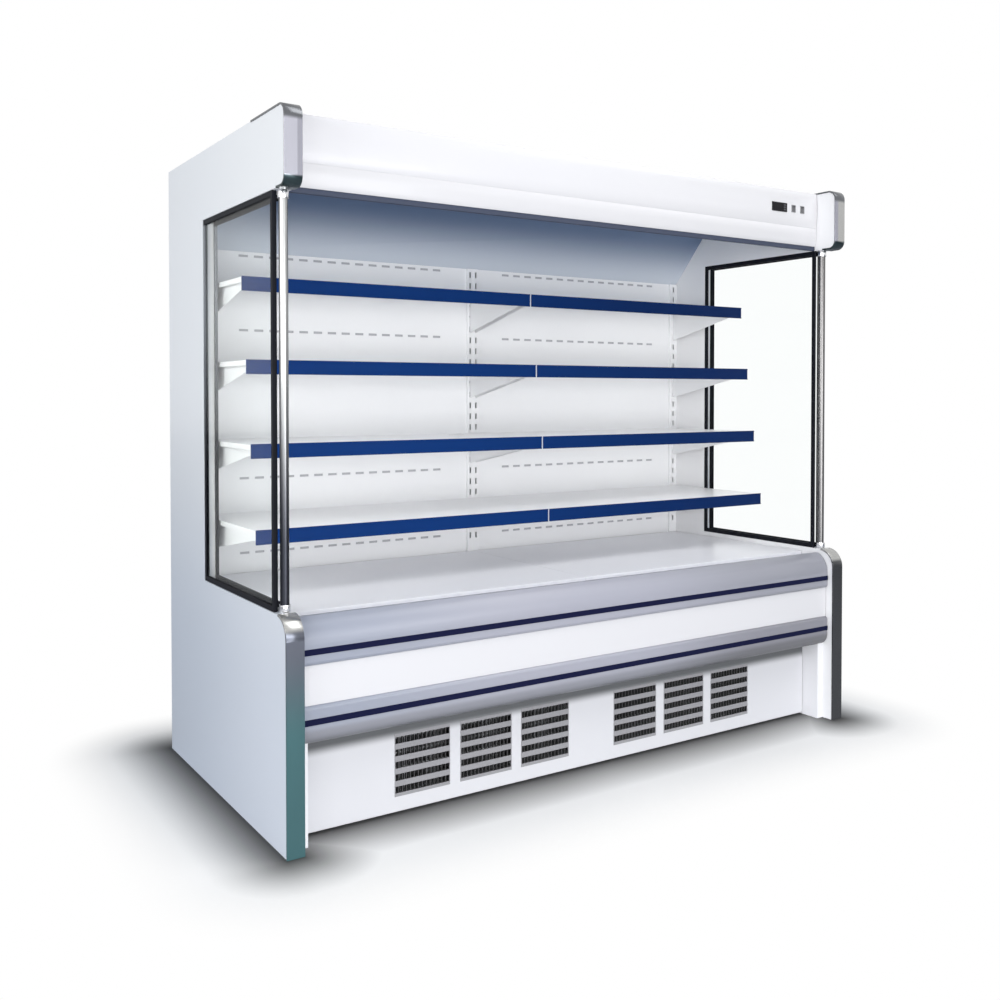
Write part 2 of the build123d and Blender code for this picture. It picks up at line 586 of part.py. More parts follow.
SUPPORT_DEPTHS = ((150.0, 172.0), (836.0, 858.0))
SUPPORT_TALL = 26.0
with BuildPart() as deck_support_rails:
    for rail_depth in SUPPORT_DEPTHS:
        slab((-PANEL_IN, PANEL_IN), rail_depth, (SUPPORT_TOP - SUPPORT_TALL, SUPPORT_TOP))
        slab((-PANEL_IN, PANEL_IN), (rail_depth[0] + SHEET, rail_depth[1] - SHEET),
             (SUPPORT_TOP - SUPPORT_TALL, SUPPORT_TOP - SHEET), Mode.SUBTRACT)
save(deck_support_rails.part, "deck_support_rails")

DECK_FRONT = 152.0
for end, bay in ((-1, "left"), (1, "right")):
    span = pair(end, TRAY_GAP, SHELF_SIDE)
    with BuildPart() as pan:
        slab(span, (DECK_FRONT, SHELF_REAR), (SUPPORT_TOP, DECK_TOP))
        slab((span[0] + SHEET, span[1] - SHEET), (DECK_FRONT + SHEET, SHELF_REAR - SHEET),
             (SUPPORT_TOP, DECK_TOP - SHEET), Mode.SUBTRACT)
        top_edges = pan.faces().sort_by(Axis.Z)[-1].edges().filter_by(Axis.X)
        fillet(top_edges.sort_by(Axis.Y)[0], 1.5)
    save(pan.part, f"{bay}_deck_pan")

GRILLE_SLOTS = 52
GRILLE_SLOT_PITCH = 40.0
GRILLE_SLOT = (44.0, 12.0)
GRILLE_FRONT = TUB_WALL_REAR - 12
GRILLE_REAR = DECK_FRONT - TRAY_GAP
with BuildPart() as return_air_grille:
    slab((-SHELF_SIDE, SHELF_SIDE), (GRILLE_FRONT, GRILLE_REAR), (TUB_RIM, TUB_RIM + SHEET))
    slab((-SHELF_SIDE, SHELF_SIDE), (GRILLE_REAR - SHEET, GRILLE_REAR), (SUPPORT_TOP, TUB_RIM))
    with BuildSketch(Plane.XY.offset(TUB_RIM)):
        with Locations((0, y_at((TUB_WALL_REAR + GRILLE_REAR - SHEET) / 2))):
            with GridLocations(GRILLE_SLOT_PITCH, 1, GRILLE_SLOTS, 1):
                SlotOverall(*GRILLE_SLOT, rotation=90)
    extrude(amount=SHEET, mode=Mode.SUBTRACT)
save(return_air_grille.part, "return_air_grille")

# ---- front: bumpers, stripes and panel ----------------------------------------
# bumper outlines as (depth behind the nose, height) points
INSERT_ROOT = BUMPER_NOSE + 6
INSERT_FACE = BUMPER_NOSE - 2
UPPER_FOOT = ((9.0, UPPER_BUMPER_BOTTOM), (2.5, 503.5), (0.0, 512.5))
UPPER_HEAD = ((0.0, 556.0), (11.0, 598.0), (43.0, BUMPER_TOP))
UPPER_SEAT = TUB_WALL_REAR - 14
LOWER_HEAD = ((11.0, LOWER_BUMPER_TOP), (3.0, 387.0), (0.0, 378.5))
LOWER_FOOT = ((0.0, 332.0), (8.5, 297.0), (41.0, 279.5))
LIP_SHEET = 4.0
LIP_ROOT = 304.0
LIP_REAR = KICK_DEPTH - 2
LIP_BEND = (70.0, 285.0)


def nose_arc(points):
    """An arc of a bumper outline through three of its listed points."""
    ThreePointArc(*[(y_at(BUMPER_NOSE + back), height) for back, height in points])


def nose_point(point):
    return y_at(BUMPER_NOSE + point[0]), point[1]


with BuildPart() as upper_bumper:
    with BuildSketch(CASE_PLANE):
        with BuildLine():
            nose_arc(UPPER_FOOT)
            Line(nose_point(UPPER_FOOT[2]), nose_point(UPPER_HEAD[0]))
            nose_arc(UPPER_HEAD)
            Polyline(nose_point(UPPER_HEAD[2]), (y_at(UPPER_SEAT), BUMPER_TOP),
                     (y_at(UPPER_SEAT), TUB_RIM), (y_at(TUB_WALL_FRONT), TUB_RIM),
                     (y_at(TUB_WALL_FRONT), UPPER_BUMPER_BOTTOM), nose_point(UPPER_FOOT[0]))
        make_face()
    extrude(amount=2 * TRIM_IN)
    slab((-TRIM_IN, TRIM_IN), (BUMPER_NOSE, INSERT_ROOT), STRIPE_UPPER, Mode.SUBTRACT)
save(upper_bumper.part, "upper_bumper")

with BuildPart() as lower_bumper:
    with BuildSketch(CASE_PLANE):
        with BuildLine():
            nose_arc(LOWER_HEAD)
            Line(nose_point(LOWER_HEAD[2]), nose_point(LOWER_FOOT[0]))
            nose_arc(LOWER_FOOT)
            Polyline(nose_point(LOWER_FOOT[2]), (y_at(LIP_REAR), LIP_BOTTOM),
                     (y_at(LIP_REAR), LIP_BOTTOM + LIP_SHEET),
                     (y_at(LIP_BEND[0]), LIP_BEND[1]),
                     (y_at(TUB_WALL_FRONT), LIP_ROOT), (y_at(TUB_WALL_FRONT), LOWER_BUMPER_TOP),
                     nose_point(LOWER_HEAD[0]))
        make_face()
    extrude(amount=2 * TRIM_IN)
    slab((-TRIM_IN, TRIM_IN), (BUMPER_NOSE, INSERT_ROOT), STRIPE_LOWER, Mode.SUBTRACT)
    for end in (-1, 1):
        slab(pair(end, FRAME_SIDE_IN, PANEL_IN), (TUB_WALL_FRONT, KICK_DEPTH), (LIP_BOTTOM, LIP_ROOT),
             Mode.SUBTRACT)
save(lower_bumper.part, "lower_bumper")

INSERT_ROUND = 1.8
with BuildPart() as bumper_inserts:
    for stripe in (STRIPE_UPPER, STRIPE_LOWER):
        slab((-TRIM_IN, TRIM_IN), (INSERT_FACE, INSERT_ROOT), stripe)
    nose_edges = bumper_inserts.edges().filter_by(Axis.X).group_by(Axis.Y)[0]
    fillet(nose_edges, INSERT_ROUND)
save(bumper_inserts.part, "bumper_inserts")

with BuildPart() as front_panel:
    slab((-TRIM_IN, TRIM_IN), (FRONT_PANEL_DEPTH, TUB_WALL_FRONT),
         (LOWER_BUMPER_TOP, UPPER_BUMPER_BOTTOM))
save(front_panel.part, "front_panel")

# ---- base frame with its machine floor -------------------------------------------
MACHINE_FLOOR = 34.0
FLOOR_SHEET = 3.0
FRONT_RAIL_DEPTHS = (TUB_WALL_FRONT, TUB_WALL_FRONT + 36)
FRONT_RAIL_BOTTOM = 340.0
FOOT_RAIL_DEPTHS = (134.0, 174.0)
REAR_RAIL_DEPTHS = (REAR_INNER - 40, REAR_INNER)
REAR_RAIL_TOP = 60.0
INNER_SPAN = (-FRAME_SIDE_IN, FRAME_SIDE_IN)
with BuildPart() as base_frame:
    for end in (-1, 1):
        slab(pair(end, FRAME_SIDE_IN, PANEL_IN), (TUB_WALL_FRONT, REAR_INNER), (0, TUB_BOTTOM))
    slab(INNER_SPAN, FRONT_RAIL_DEPTHS, (FRONT_RAIL_BOTTOM, TUB_BOTTOM))
    slab(INNER_SPAN, REAR_RAIL_DEPTHS, (0, REAR_RAIL_TOP))
    slab(INNER_SPAN, FOOT_RAIL_DEPTHS, (0, MACHINE_FLOOR))
    slab(INNER_SPAN, (FOOT_RAIL_DEPTHS[0], REAR_INNER), (MACHINE_FLOOR - FLOOR_SHEET, MACHINE_FLOOR))
save(base_frame.part, "base_frame")

# ---- kick plate with its louvred grilles ------------------------------------------
VENT_XS = [group * VENT_GROUP_X + k * VENT_PITCH for group in (-1, 1) for k in (-1, 0, 1)]
VENT_TALL = VENT_TOP - VENT_BOTTOM
VENT_MID = (VENT_TOP + VENT_BOTTOM) / 2
SLOT_STEP = 36.6
LOUVRE_SLOT = 20.0
FLANGE = 8.0

with BuildPart() as kick_plate:
    slab((-FRAME_SIDE_IN + 2, FRAME_SIDE_IN - 2), (KICK_DEPTH, KICK_DEPTH + SHEET),
         (KICK_BOTTOM, KICK_TOP))
    slab((-FRAME_SIDE_IN + 2, FRAME_SIDE_IN - 2), (KICK_DEPTH, KICK_DEPTH + 10),
         (KICK_TOP - SHEET, KICK_TOP))
    for vent_x in VENT_XS:
        slab(switch_span(vent_x, VENT_WIDE), (KICK_DEPTH, KICK_DEPTH + SHEET),
             (VENT_BOTTOM, VENT_TOP), Mode.SUBTRACT)
save(kick_plate.part, "kick_plate")

with BuildPart() as kick_grilles:
    for vent_x in VENT_XS:
        slab(switch_span(vent_x, VENT_WIDE), (KICK_DEPTH - 1, KICK_DEPTH + SHEET),
             (VENT_BOTTOM, VENT_TOP))
        slab(switch_span(vent_x, VENT_WIDE + 2 * FLANGE), (KICK_DEPTH + SHEET, KICK_DEPTH + 2 * SHEET),
             (VENT_BOTTOM - FLANGE, VENT_TOP + FLANGE))
        for row in range(VENT_SLOTS):
            slot_z = VENT_MID + (row - (VENT_SLOTS - 1) / 2) * SLOT_STEP
            slab(switch_span(vent_x, VENT_WIDE - 4), (KICK_DEPTH - 1, KICK_DEPTH + 2 * SHEET),
                 (slot_z - LOUVRE_SLOT / 2, slot_z + LOUVRE_SLOT / 2), Mode.SUBTRACT)
        for fin in range(VENT_FINS):
            fin_x = vent_x + (fin - (VENT_FINS - 1) / 2) * (VENT_WIDE / (VENT_FINS + 1))
            slab((fin_x - 1, fin_x + 1), (KICK_DEPTH + SHEET, KICK_DEPTH + 10),
                 (VENT_BOTTOM, VENT_TOP))
save(kick_grilles.part, "kick_grilles")

# ---- refrigeration: condensing side in the base -----------------------------------
COMPRESSOR_AT = (430.0, y_at(460))
COMPRESSOR_FOOT = (200.0, 160.0, 6.0)
COMPRESSOR_RADIUS = 85.0
COMPRESSOR_TALL = 200.0
COMPRESSOR_DOME = 40.0
PIPES = ((-50.0, 5.0), (50.0, 8.0))
PIPE_ROOT = MACHINE_FLOOR + 180
PIPE_RISE = 90.0
with BuildPart() as compressor:
    with BuildSketch(Plane.XY.offset(MACHINE_FLOOR)):
        with Locations(COMPRESSOR_AT):
            Rectangle(COMPRESSOR_FOOT[0], COMPRESSOR_FOOT[1])
    extrude(amount=COMPRESSOR_FOOT[2])
    with BuildSketch(Plane.XY.offset(MACHINE_FLOOR + COMPRESSOR_FOOT[2])):
        with Locations(COMPRESSOR_AT):
            Circle(COMPRESSOR_RADIUS)
    extrude(amount=COMPRESSOR_TALL)
    shell_rim = compressor.faces().sort_by(Axis.Z)[-1].edges()
    fillet(shell_rim, COMPRESSOR_DOME)
    for pipe_across, pipe_radius in PIPES:
        with BuildSketch(Plane.XY.offset(PIPE_ROOT)):
            with Locations((COMPRESSOR_AT[0] + pipe_across, COMPRESSOR_AT[1])):
                Circle(pipe_radius)
        extrude(amount=PIPE_RISE)
save(compressor.part, "compressor")

COIL_X = (-720.0, -100.0)
COIL_DEPTH = (172.0, 252.0)
COIL_Z = (MACHINE_FLOOR, 320.0)
COIL_FINS = 40
COIL_PLATE = 4.0
FIN_THICK = 1.5
FIN_MARGIN = 4.0
COIL_TUBE_RADIUS = 5.0
COIL_TUBE_GRID = (40, 46, 2, 6)
with BuildPart() as condenser_coil:
    for plate_x in (COIL_X[0], COIL_X[1] - COIL_PLATE):
        slab((plate_x, plate_x + COIL_PLATE), COIL_DEPTH, COIL_Z)
    fin_step = (COIL_X[1] - COIL_X[0]) / COIL_FINS
    for fin in range(1, COIL_FINS):
        fin_x = COIL_X[0] + fin * fin_step
        slab((fin_x, fin_x + FIN_THICK), COIL_DEPTH, (COIL_Z[0] + FIN_MARGIN, COIL_Z[1] - FIN_MARGIN))
    with BuildSketch(Plane.YZ.offset(COIL_X[0])):
        with Locations((y_at(sum(COIL_DEPTH) / 2), sum(COIL_Z) / 2)):
            with GridLocations(*COIL_TUBE_GRID):
                Circle(COIL_TUBE_RADIUS)
    extrude(amount=COIL_X[1] - COIL_X[0])
save(condenser_coil.part, "condenser_coil")

fan_x, fan_depth, fan_z = CONDENSER_FAN
COWL_HALF = 160.0
COWL_SHEET = (254.0, 257.0)
COWL_FOOT = (254.0, 300.0)
COWL_TOP = 330.0
COWL_RING = (252.0, 314.0)
COWL_INNER = CONDENSER_FAN_RADIUS + 5
COWL_OUTER = CONDENSER_FAN_RADIUS + 8
MOTOR = (305.0, 375.0)
MOTOR_RADIUS = 42.0
SPOKE_DEEP = 10.0
SPOKE_WIDE = 14.0
SPOKE_LENGTH = CONDENSER_FAN_RADIUS - 24
SPOKE_CENTRE = (CONDENSER_FAN_RADIUS + 4) / 2 + 15
SHAFT = (270.0, 310.0)


def disc_row(places, height, radius, depths, mode=Mode.ADD):
    """Round bars along Y at one height, between two depths."""
    with Locations(*[(x, y_at(sum(depths) / 2), height) for x in places]):
        Cylinder(radius, depths[1] - depths[0], rotation=(90, 0, 0), mode=mode)


with BuildPart() as condenser_fan_cowl:
    slab((fan_x - COWL_HALF, fan_x + COWL_HALF), COWL_SHEET, (MACHINE_FLOOR, COWL_TOP))
    slab((fan_x - COWL_HALF, fan_x + COWL_HALF), COWL_FOOT, (MACHINE_FLOOR, MACHINE_FLOOR + FLOOR_SHEET))
    disc_row([fan_x], fan_z, COWL_OUTER, COWL_RING)
    disc_row([fan_x], fan_z, COWL_INNER, COWL_RING, Mode.SUBTRACT)
    disc_row([fan_x], fan_z, MOTOR_RADIUS, MOTOR)
    for turn in range(3):
        with BuildSketch(Plane.XZ.offset(-y_at(MOTOR[0]))):
            with Locations((fan_x, fan_z)):
                with PolarLocations(SPOKE_CENTRE, 1, start_angle=90 + 120 * turn):
                    Rectangle(SPOKE_LENGTH, SPOKE_WIDE)
        extrude(amount=-SPOKE_DEEP)
    disc_row([fan_x], fan_z, SHAFT_RADIUS, SHAFT)
save(condenser_fan_cowl.part, "condenser_fan_cowl")

HUB_SHARE = 0.28
CHORD_SHARE = 0.55
HUB_LONG = 24.0
BLADE_THICK = 2.0
BLADE_PITCH = 62.0
BLADE_TIP_GAP = 3.0
BLADE_ROOT_SHARE = 0.7


def fan_rotor(centre, depth, height, radius, blades):
    """Axial fan on a Y axis: a bored hub and pitched blades."""
    hub = radius * HUB_SHARE
    root = hub * BLADE_ROOT_SHARE
    hub_depths = (depth - HUB_LONG / 2, depth + HUB_LONG / 2)
    with BuildPart() as rotor:
        disc_row([centre], height, hub, hub_depths)
        for blade in range(blades):
            angle = math.radians(360 / blades * blade)
            outward = (math.cos(angle), 0, math.sin(angle))
            pitched = Plane(origin=(centre, y_at(depth), height), x_dir=(0, 1, 0), z_dir=outward)
            with BuildSketch(pitched.offset(root)):
                Rectangle(radius * CHORD_SHARE, BLADE_THICK, rotation=BLADE_PITCH)
            extrude(amount=radius - root - BLADE_TIP_GAP)
        disc_row([centre], height, SHAFT_RADIUS + SHAFT_CLEARANCE, hub_depths, Mode.SUBTRACT)
    return rotor.part


FAN_BLADES = 5
save(fan_rotor(fan_x, fan_depth, fan_z, CONDENSER_FAN_RADIUS, FAN_BLADES), "condenser_fan")

# ---- refrigeration: evaporator side in the tub --------------------------------------
EVAP_X = (-930.0, 930.0)
EVAP_DEPTH = (430.0, 700.0)
EVAP_Z = (TUB_FLOOR, 545.0)
EVAP_FINS = 60
EVAP_TUBE_RADIUS = 6.0
EVAP_TUBE_GRID = (44, 50, 6, 2)
with BuildPart() as evaporator_coil:
    for plate_x in (EVAP_X[0], EVAP_X[1] - COIL_PLATE):
        slab((plate_x, plate_x + COIL_PLATE), EVAP_DEPTH, EVAP_Z)
    fin_step = (EVAP_X[1] - EVAP_X[0]) / EVAP_FINS
    for fin in range(1, EVAP_FINS):
        fin_x = EVAP_X[0] + fin * fin_step
        slab((fin_x, fin_x + FIN_THICK), EVAP_DEPTH, (EVAP_Z[0] + FIN_MARGIN, EVAP_Z[1] - FIN_MARGIN))
    with BuildSketch(Plane.YZ.offset(EVAP_X[0])):
        with Locations((y_at(sum(EVAP_DEPTH) / 2), sum(EVAP_Z) / 2)):
            with GridLocations(*EVAP_TUBE_GRID):
                Circle(EVAP_TUBE_RADIUS)
    extrude(amount=EVAP_X[1] - EVAP_X[0])
save(evaporator_coil.part, "evaporator_coil")

PLATE_DEPTH = (322.0, 325.0)
PLATE_HALF = PANEL_IN - 10
PLATE_TOP = SUPPORT_TOP - 4
PLATE_FOOT = 30.0
FAN_HOLE_RADIUS = EVAPORATOR_FAN_RADIUS + 4
BRACKET_DEPTHS = (PLATE_DEPTH[1] + 22, PLATE_DEPTH[1] + 28)
BRACKET_FOOT_HALF = 60.0
BRACKET_FOOT_TALL = 4.0
BRACKET_HALF = 10.0
SMALL_MOTOR = (PLATE_DEPTH[1] + 22, PLATE_DEPTH[1] + 58)
SMALL_MOTOR_RADIUS = 24.0
SMALL_SHAFT = (EVAPORATOR_FAN_DEPTH - 12, EVAPORATOR_FAN_DEPTH + 18)
with BuildPart() as evaporator_fan_plate:
    slab((-PLATE_HALF, PLATE_HALF), PLATE_DEPTH, (TUB_FLOOR, PLATE_TOP))
    slab((-PLATE_HALF, PLATE_HALF), (PLATE_DEPTH[0] - PLATE_FOOT, PLATE_DEPTH[0]),
         (TUB_FLOOR, TUB_FLOOR + SHEET))
    disc_row(EVAPORATOR_FAN_XS, EVAPORATOR_FAN_Z, FAN_HOLE_RADIUS, PLATE_DEPTH, Mode.SUBTRACT)
    for motor_x in EVAPORATOR_FAN_XS:
        slab((motor_x - BRACKET_FOOT_HALF, motor_x + BRACKET_FOOT_HALF), (PLATE_DEPTH[1], BRACKET_DEPTHS[1]),
             (TUB_FLOOR, TUB_FLOOR + BRACKET_FOOT_TALL))
        slab((motor_x - BRACKET_HALF, motor_x + BRACKET_HALF), BRACKET_DEPTHS,
             (TUB_FLOOR, EVAPORATOR_FAN_Z))
    disc_row(EVAPORATOR_FAN_XS, EVAPORATOR_FAN_Z, SMALL_MOTOR_RADIUS, SMALL_MOTOR)
    disc_row(EVAPORATOR_FAN_XS, EVAPORATOR_FAN_Z, SHAFT_RADIUS, SMALL_SHAFT)
save(evaporator_fan_plate.part, "evaporator_fan_plate")

for name, motor_x in (("left_evaporator_fan", EVAPORATOR_FAN_XS[0]),
                      ("right_evaporator_fan", EVAPORATOR_FAN_XS[1])):
    rotor = fan_rotor(motor_x, EVAPORATOR_FAN_DEPTH, EVAPORATOR_FAN_Z, EVAPORATOR_FAN_RADIUS, FAN_BLADES)
    save(rotor, name)
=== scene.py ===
import math

import bmesh
import bpy
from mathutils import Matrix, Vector


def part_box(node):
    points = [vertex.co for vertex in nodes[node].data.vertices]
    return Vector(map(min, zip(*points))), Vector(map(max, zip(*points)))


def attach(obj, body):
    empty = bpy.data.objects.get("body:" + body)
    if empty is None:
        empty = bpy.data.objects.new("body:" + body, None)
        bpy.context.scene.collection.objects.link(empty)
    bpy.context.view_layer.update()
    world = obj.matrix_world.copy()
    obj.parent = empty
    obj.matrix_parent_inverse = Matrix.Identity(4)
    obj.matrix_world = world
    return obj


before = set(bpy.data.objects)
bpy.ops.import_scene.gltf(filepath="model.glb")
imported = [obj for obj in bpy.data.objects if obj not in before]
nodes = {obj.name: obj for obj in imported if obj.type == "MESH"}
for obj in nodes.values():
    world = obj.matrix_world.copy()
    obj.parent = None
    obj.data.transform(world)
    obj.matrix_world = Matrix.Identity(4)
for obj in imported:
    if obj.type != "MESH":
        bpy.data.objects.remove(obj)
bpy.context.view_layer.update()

# ---- Photographer's floor, backdrop and lights ---------------------------
# A pale studio floor runs away under the case and fades to white a little way off, and large soft
# boxes light it from the shop side, the left and above. A contact shadow is painted into the floor
# colour, nearly black at the foot of the case and fading out over a short reach; bounce light and
# reflections see a plain grey floor.
EYE_PLACE = (-2.150588, -3.125616, 1.232138)
EYE_DIP, EYE_TURN = 1.151, -33.351
EYE_LENS, FILM_WIDTH, EYE_SHIFT = 37.673, 36.0, -0.0844
ROOM_COLOUR, ROOM_STRENGTH = (0.86, 0.92, 1.0, 1.0), 0.31
WHITE, BLACK = (1.0, 1.0, 1.0, 1.0), (0.0, 0.0, 0.0, 1.0)
FLOOR_HALF, FLOOR_LEVEL = 30.0, -0.0006
FLOOR_PALE, FLOOR_DUSK = (0.96, 0.96, 0.955, 1.0), (0.74, 0.75, 0.78, 1.0)
FLOOR_ROUGHNESS = 0.9
# boxes on the floor: the whole footprint, the body behind the kick plate, and one end panel
FOOT_MIDDLE, FOOT_HALF = (0.0, 0.0), (1.115, 0.53)
BODY_MIDDLE, BODY_HALF = (0.0, 0.06), (1.113, 0.468)
END_MIDDLE, END_HALF = (1.09, 0.0), (0.022, 0.53)
SHADE_REACH, SHADE_DARKEST = 0.21, 0.10
WHITE_FROM, WHITE_BY = 0.04, 0.42

scene = bpy.context.scene
scene.view_settings.view_transform = "Standard"

eye = bpy.data.objects.new("eye", bpy.data.cameras.new("eye"))
scene.collection.objects.link(eye)
eye.location = EYE_PLACE
eye.rotation_euler = (math.radians(90.0 - EYE_DIP), 0.0, math.radians(EYE_TURN))
eye.data.lens = EYE_LENS
eye.data.sensor_width = FILM_WIDTH
eye.data.shift_y = EYE_SHIFT
scene.camera = eye


def joined_math(tree, operation, first, second):
    """A math node fed by two sockets or numbers; gives its output socket."""
    node = tree.nodes.new("ShaderNodeMath")
    node.operation = operation
    for socket, value in zip(node.inputs, (first, second)):
        if isinstance(value, (int, float)):
            socket.default_value = value
        else:
            tree.links.new(value, socket)
    return node.outputs[0]


def seen_directly(tree, mirrors):
    """1 for the rays that reach the lens straight or through a pane, or off a mirror."""
    path = tree.nodes.new("ShaderNodeLightPath")
    seen = joined_math(tree, "MAXIMUM", path.outputs["Is Camera Ray"],
                       path.outputs["Is Transmission Ray"])
    if mirrors:
        seen = joined_math(tree, "MAXIMUM", seen, path.outputs["Is Glossy Ray"])
    return seen


def mixed_shader(tree, share, first, second):
    """The outputs of two shader nodes mixed by a share; gives the mixing node."""
    mix = tree.nodes.new("ShaderNodeMixShader")
    tree.links.new(share, mix.inputs["Fac"])
    tree.links.new(first.outputs[0], mix.inputs[1])
    tree.links.new(second.outputs[0], mix.inputs[2])
    return mix


world = bpy.data.worlds.new("studio_air")
scene.world = world
world.use_nodes = True
air = world.node_tree
air.nodes.clear()
room_light = air.nodes.new("ShaderNodeBackground")
room_light.inputs["Color"].default_value = ROOM_COLOUR
room_light.inputs["Strength"].default_value = ROOM_STRENGTH
white_wall = air.nodes.new("ShaderNodeBackground")
white_wall.inputs["Color"].default_value = WHITE
air_mix = mixed_shader(air, seen_directly(air, True), room_light, white_wall)
air_out = air.nodes.new("ShaderNodeOutputWorld")
air.links.new(air_mix.outputs[0], air_out.inputs["Surface"])

floor_mesh = bpy.data.meshes.new("studio_floor")
floor_mesh.from_pydata([(x * FLOOR_HALF, y * FLOOR_HALF, FLOOR_LEVEL)
                        for x, y in ((-1, -1), (1, -1), (1, 1), (-1, 1))], [], [(0, 1, 2, 3)])
studio_floor = bpy.data.objects.new("studio_floor", floor_mesh)
scene.collection.objects.link(studio_floor)
floor_paint = bpy.data.materials.new("studio_floor_paint")
floor_paint.use_nodes = True
lay = floor_paint.node_tree
floor_shader = lay.nodes["Principled BSDF"]
floor_shader.inputs["Roughness"].default_value = FLOOR_ROUGHNESS
floor_shader.inputs["Specular IOR Level"].default_value = 0.0
dusk_shader = lay.nodes.new("ShaderNodeBsdfDiffuse")
dusk_shader.inputs["Color"].default_value = FLOOR_DUSK
glow_shader = lay.nodes.new("ShaderNodeEmission")
glow_shader.inputs["Color"].default_value = WHITE
floor_place = lay.nodes.new("ShaderNodeTexCoord")
floor_axes = lay.nodes.new("ShaderNodeSeparateXYZ")
lay.links.new(floor_place.outputs["Object"], floor_axes.inputs[0])


def distance_out(tree, middle, half, axes):
    """How far a point of the floor lies outside a box, whose middle may be mirrored in X."""
    gaps = []
    for label, centre, reach in zip(("X", "Y"), middle, half):
        spread = axes.outputs[label]
        if label == "X" and centre:
            spread = joined_math(tree, "ABSOLUTE", spread, 0.0)
        spread = joined_math(tree, "ABSOLUTE", joined_math(tree, "SUBTRACT", spread, centre), 0.0)
        gap = joined_math(tree, "MAXIMUM", joined_math(tree, "SUBTRACT", spread, reach), 0.0)
        gaps.append(joined_math(tree, "MULTIPLY", gap, gap))
    return joined_math(tree, "SQRT", joined_math(tree, "ADD", *gaps), 0.0)


away = distance_out(lay, FOOT_MIDDLE, FOOT_HALF, floor_axes)
from_body = distance_out(lay, BODY_MIDDLE, BODY_HALF, floor_axes)
from_ends = distance_out(lay, END_MIDDLE, END_HALF, floor_axes)
# painted contact shadow: the floor colour darkens to nearly black towards the foot of the case
painted_contact_shadow = lay.nodes.new("ShaderNodeMapRange")
painted_contact_shadow.inputs["From Max"].default_value = SHADE_REACH
painted_contact_shadow.inputs["To Min"].default_value = SHADE_DARKEST
lay.links.new(joined_math(lay, "MINIMUM", from_body, from_ends), painted_contact_shadow.inputs["Value"])
floor_painted_shadow = lay.nodes.new("ShaderNodeMix")
floor_painted_shadow.data_type = "RGBA"
floor_painted_shadow.inputs["A"].default_value = BLACK
floor_painted_shadow.inputs["B"].default_value = FLOOR_PALE
lay.links.new(painted_contact_shadow.outputs["Result"], floor_painted_shadow.inputs["Factor"])
lay.links.new(floor_painted_shadow.outputs["Result"], floor_shader.inputs["Base Color"])
fade_out = lay.nodes.new("ShaderNodeMapRange")
fade_out.interpolation_type = "SMOOTHSTEP"
fade_out.inputs["From Min"].default_value = WHITE_FROM
fade_out.inputs["From Max"].default_value = WHITE_BY
lay.links.new(away, fade_out.inputs["Value"])
whiten = mixed_shader(lay, fade_out.outputs["Result"], floor_shader, glow_shader)
pick = mixed_shader(lay, seen_directly(lay, False), dusk_shader, whiten)
lay.links.new(pick.outputs[0], lay.nodes["Material Output"].inputs["Surface"])
floor_mesh.materials.append(floor_paint)


def soft_box(name, place, target, size, watts):
    """A large studio soft box aimed at a point on the case."""
    lamp = bpy.data.lights.new(name, "AREA")
    lamp.shape = "RECTANGLE"
    lamp.size, lamp.size_y = size
    lamp.energy = watts
    holder = bpy.data.objects.new(name, lamp)
    scene.collection.objects.link(holder)
    holder.location = place
    holder.rotation_euler = (Vector(target) - Vector(place)).to_track_quat("-Z", "Y").to_euler()


soft_box("shop_side_box", (-0.7, -5.5, 1.0), (0.0, 0.0, 0.9), (3.2, 1.9), 126.0)
soft_box("left_front_box", (-4.2, -4.2, 1.4), (0.4, 0.2, 1.0), (2.4, 2.2), 58.0)
soft_box("left_side_box", (-4.6, -1.2, 2.0), (-1.1, 0.0, 1.5), (2.4, 1.4), 64.0)
soft_box("ceiling_box", (1.2, -2.2, 4.6), (0.3, -0.2, 0.6), (3.0, 2.5), 97.0)

# ---- Base frame and insulated tub ----------------------------------------
# Folded steel side plates and cross rails carry a foamed tub that holds the
# cold air. All the outer sheet is zinc-coated steel stoved with white enamel.
COLOUR, VECTOR, NUMBER = "NodeSocketColor", "NodeSocketVector", "NodeSocketFloat"
PATCH_DETAIL, GRAIN_DETAIL = 4.0, 2.0
RELIEF_DEPTH = 0.0006
COAT_ROUGHNESS = 0.12
WELD_GAP = 0.00002
SHARP_ANGLE = 35.0
X_AXIS, Y_AXIS, Z_AXIS = (1.0, 0.0, 0.0), (0.0, 1.0, 0.0), (0.0, 0.0, 1.0)


def new_group(name, takes, gives):
    """An empty node group with the given input and output sockets."""
    tree = bpy.data.node_groups.new(name, "ShaderNodeTree")
    for way, sockets in (("INPUT", takes), ("OUTPUT", gives)):
        for label, kind in sockets.items():
            tree.interface.new_socket(name=label, in_out=way, socket_type=kind)
    return tree


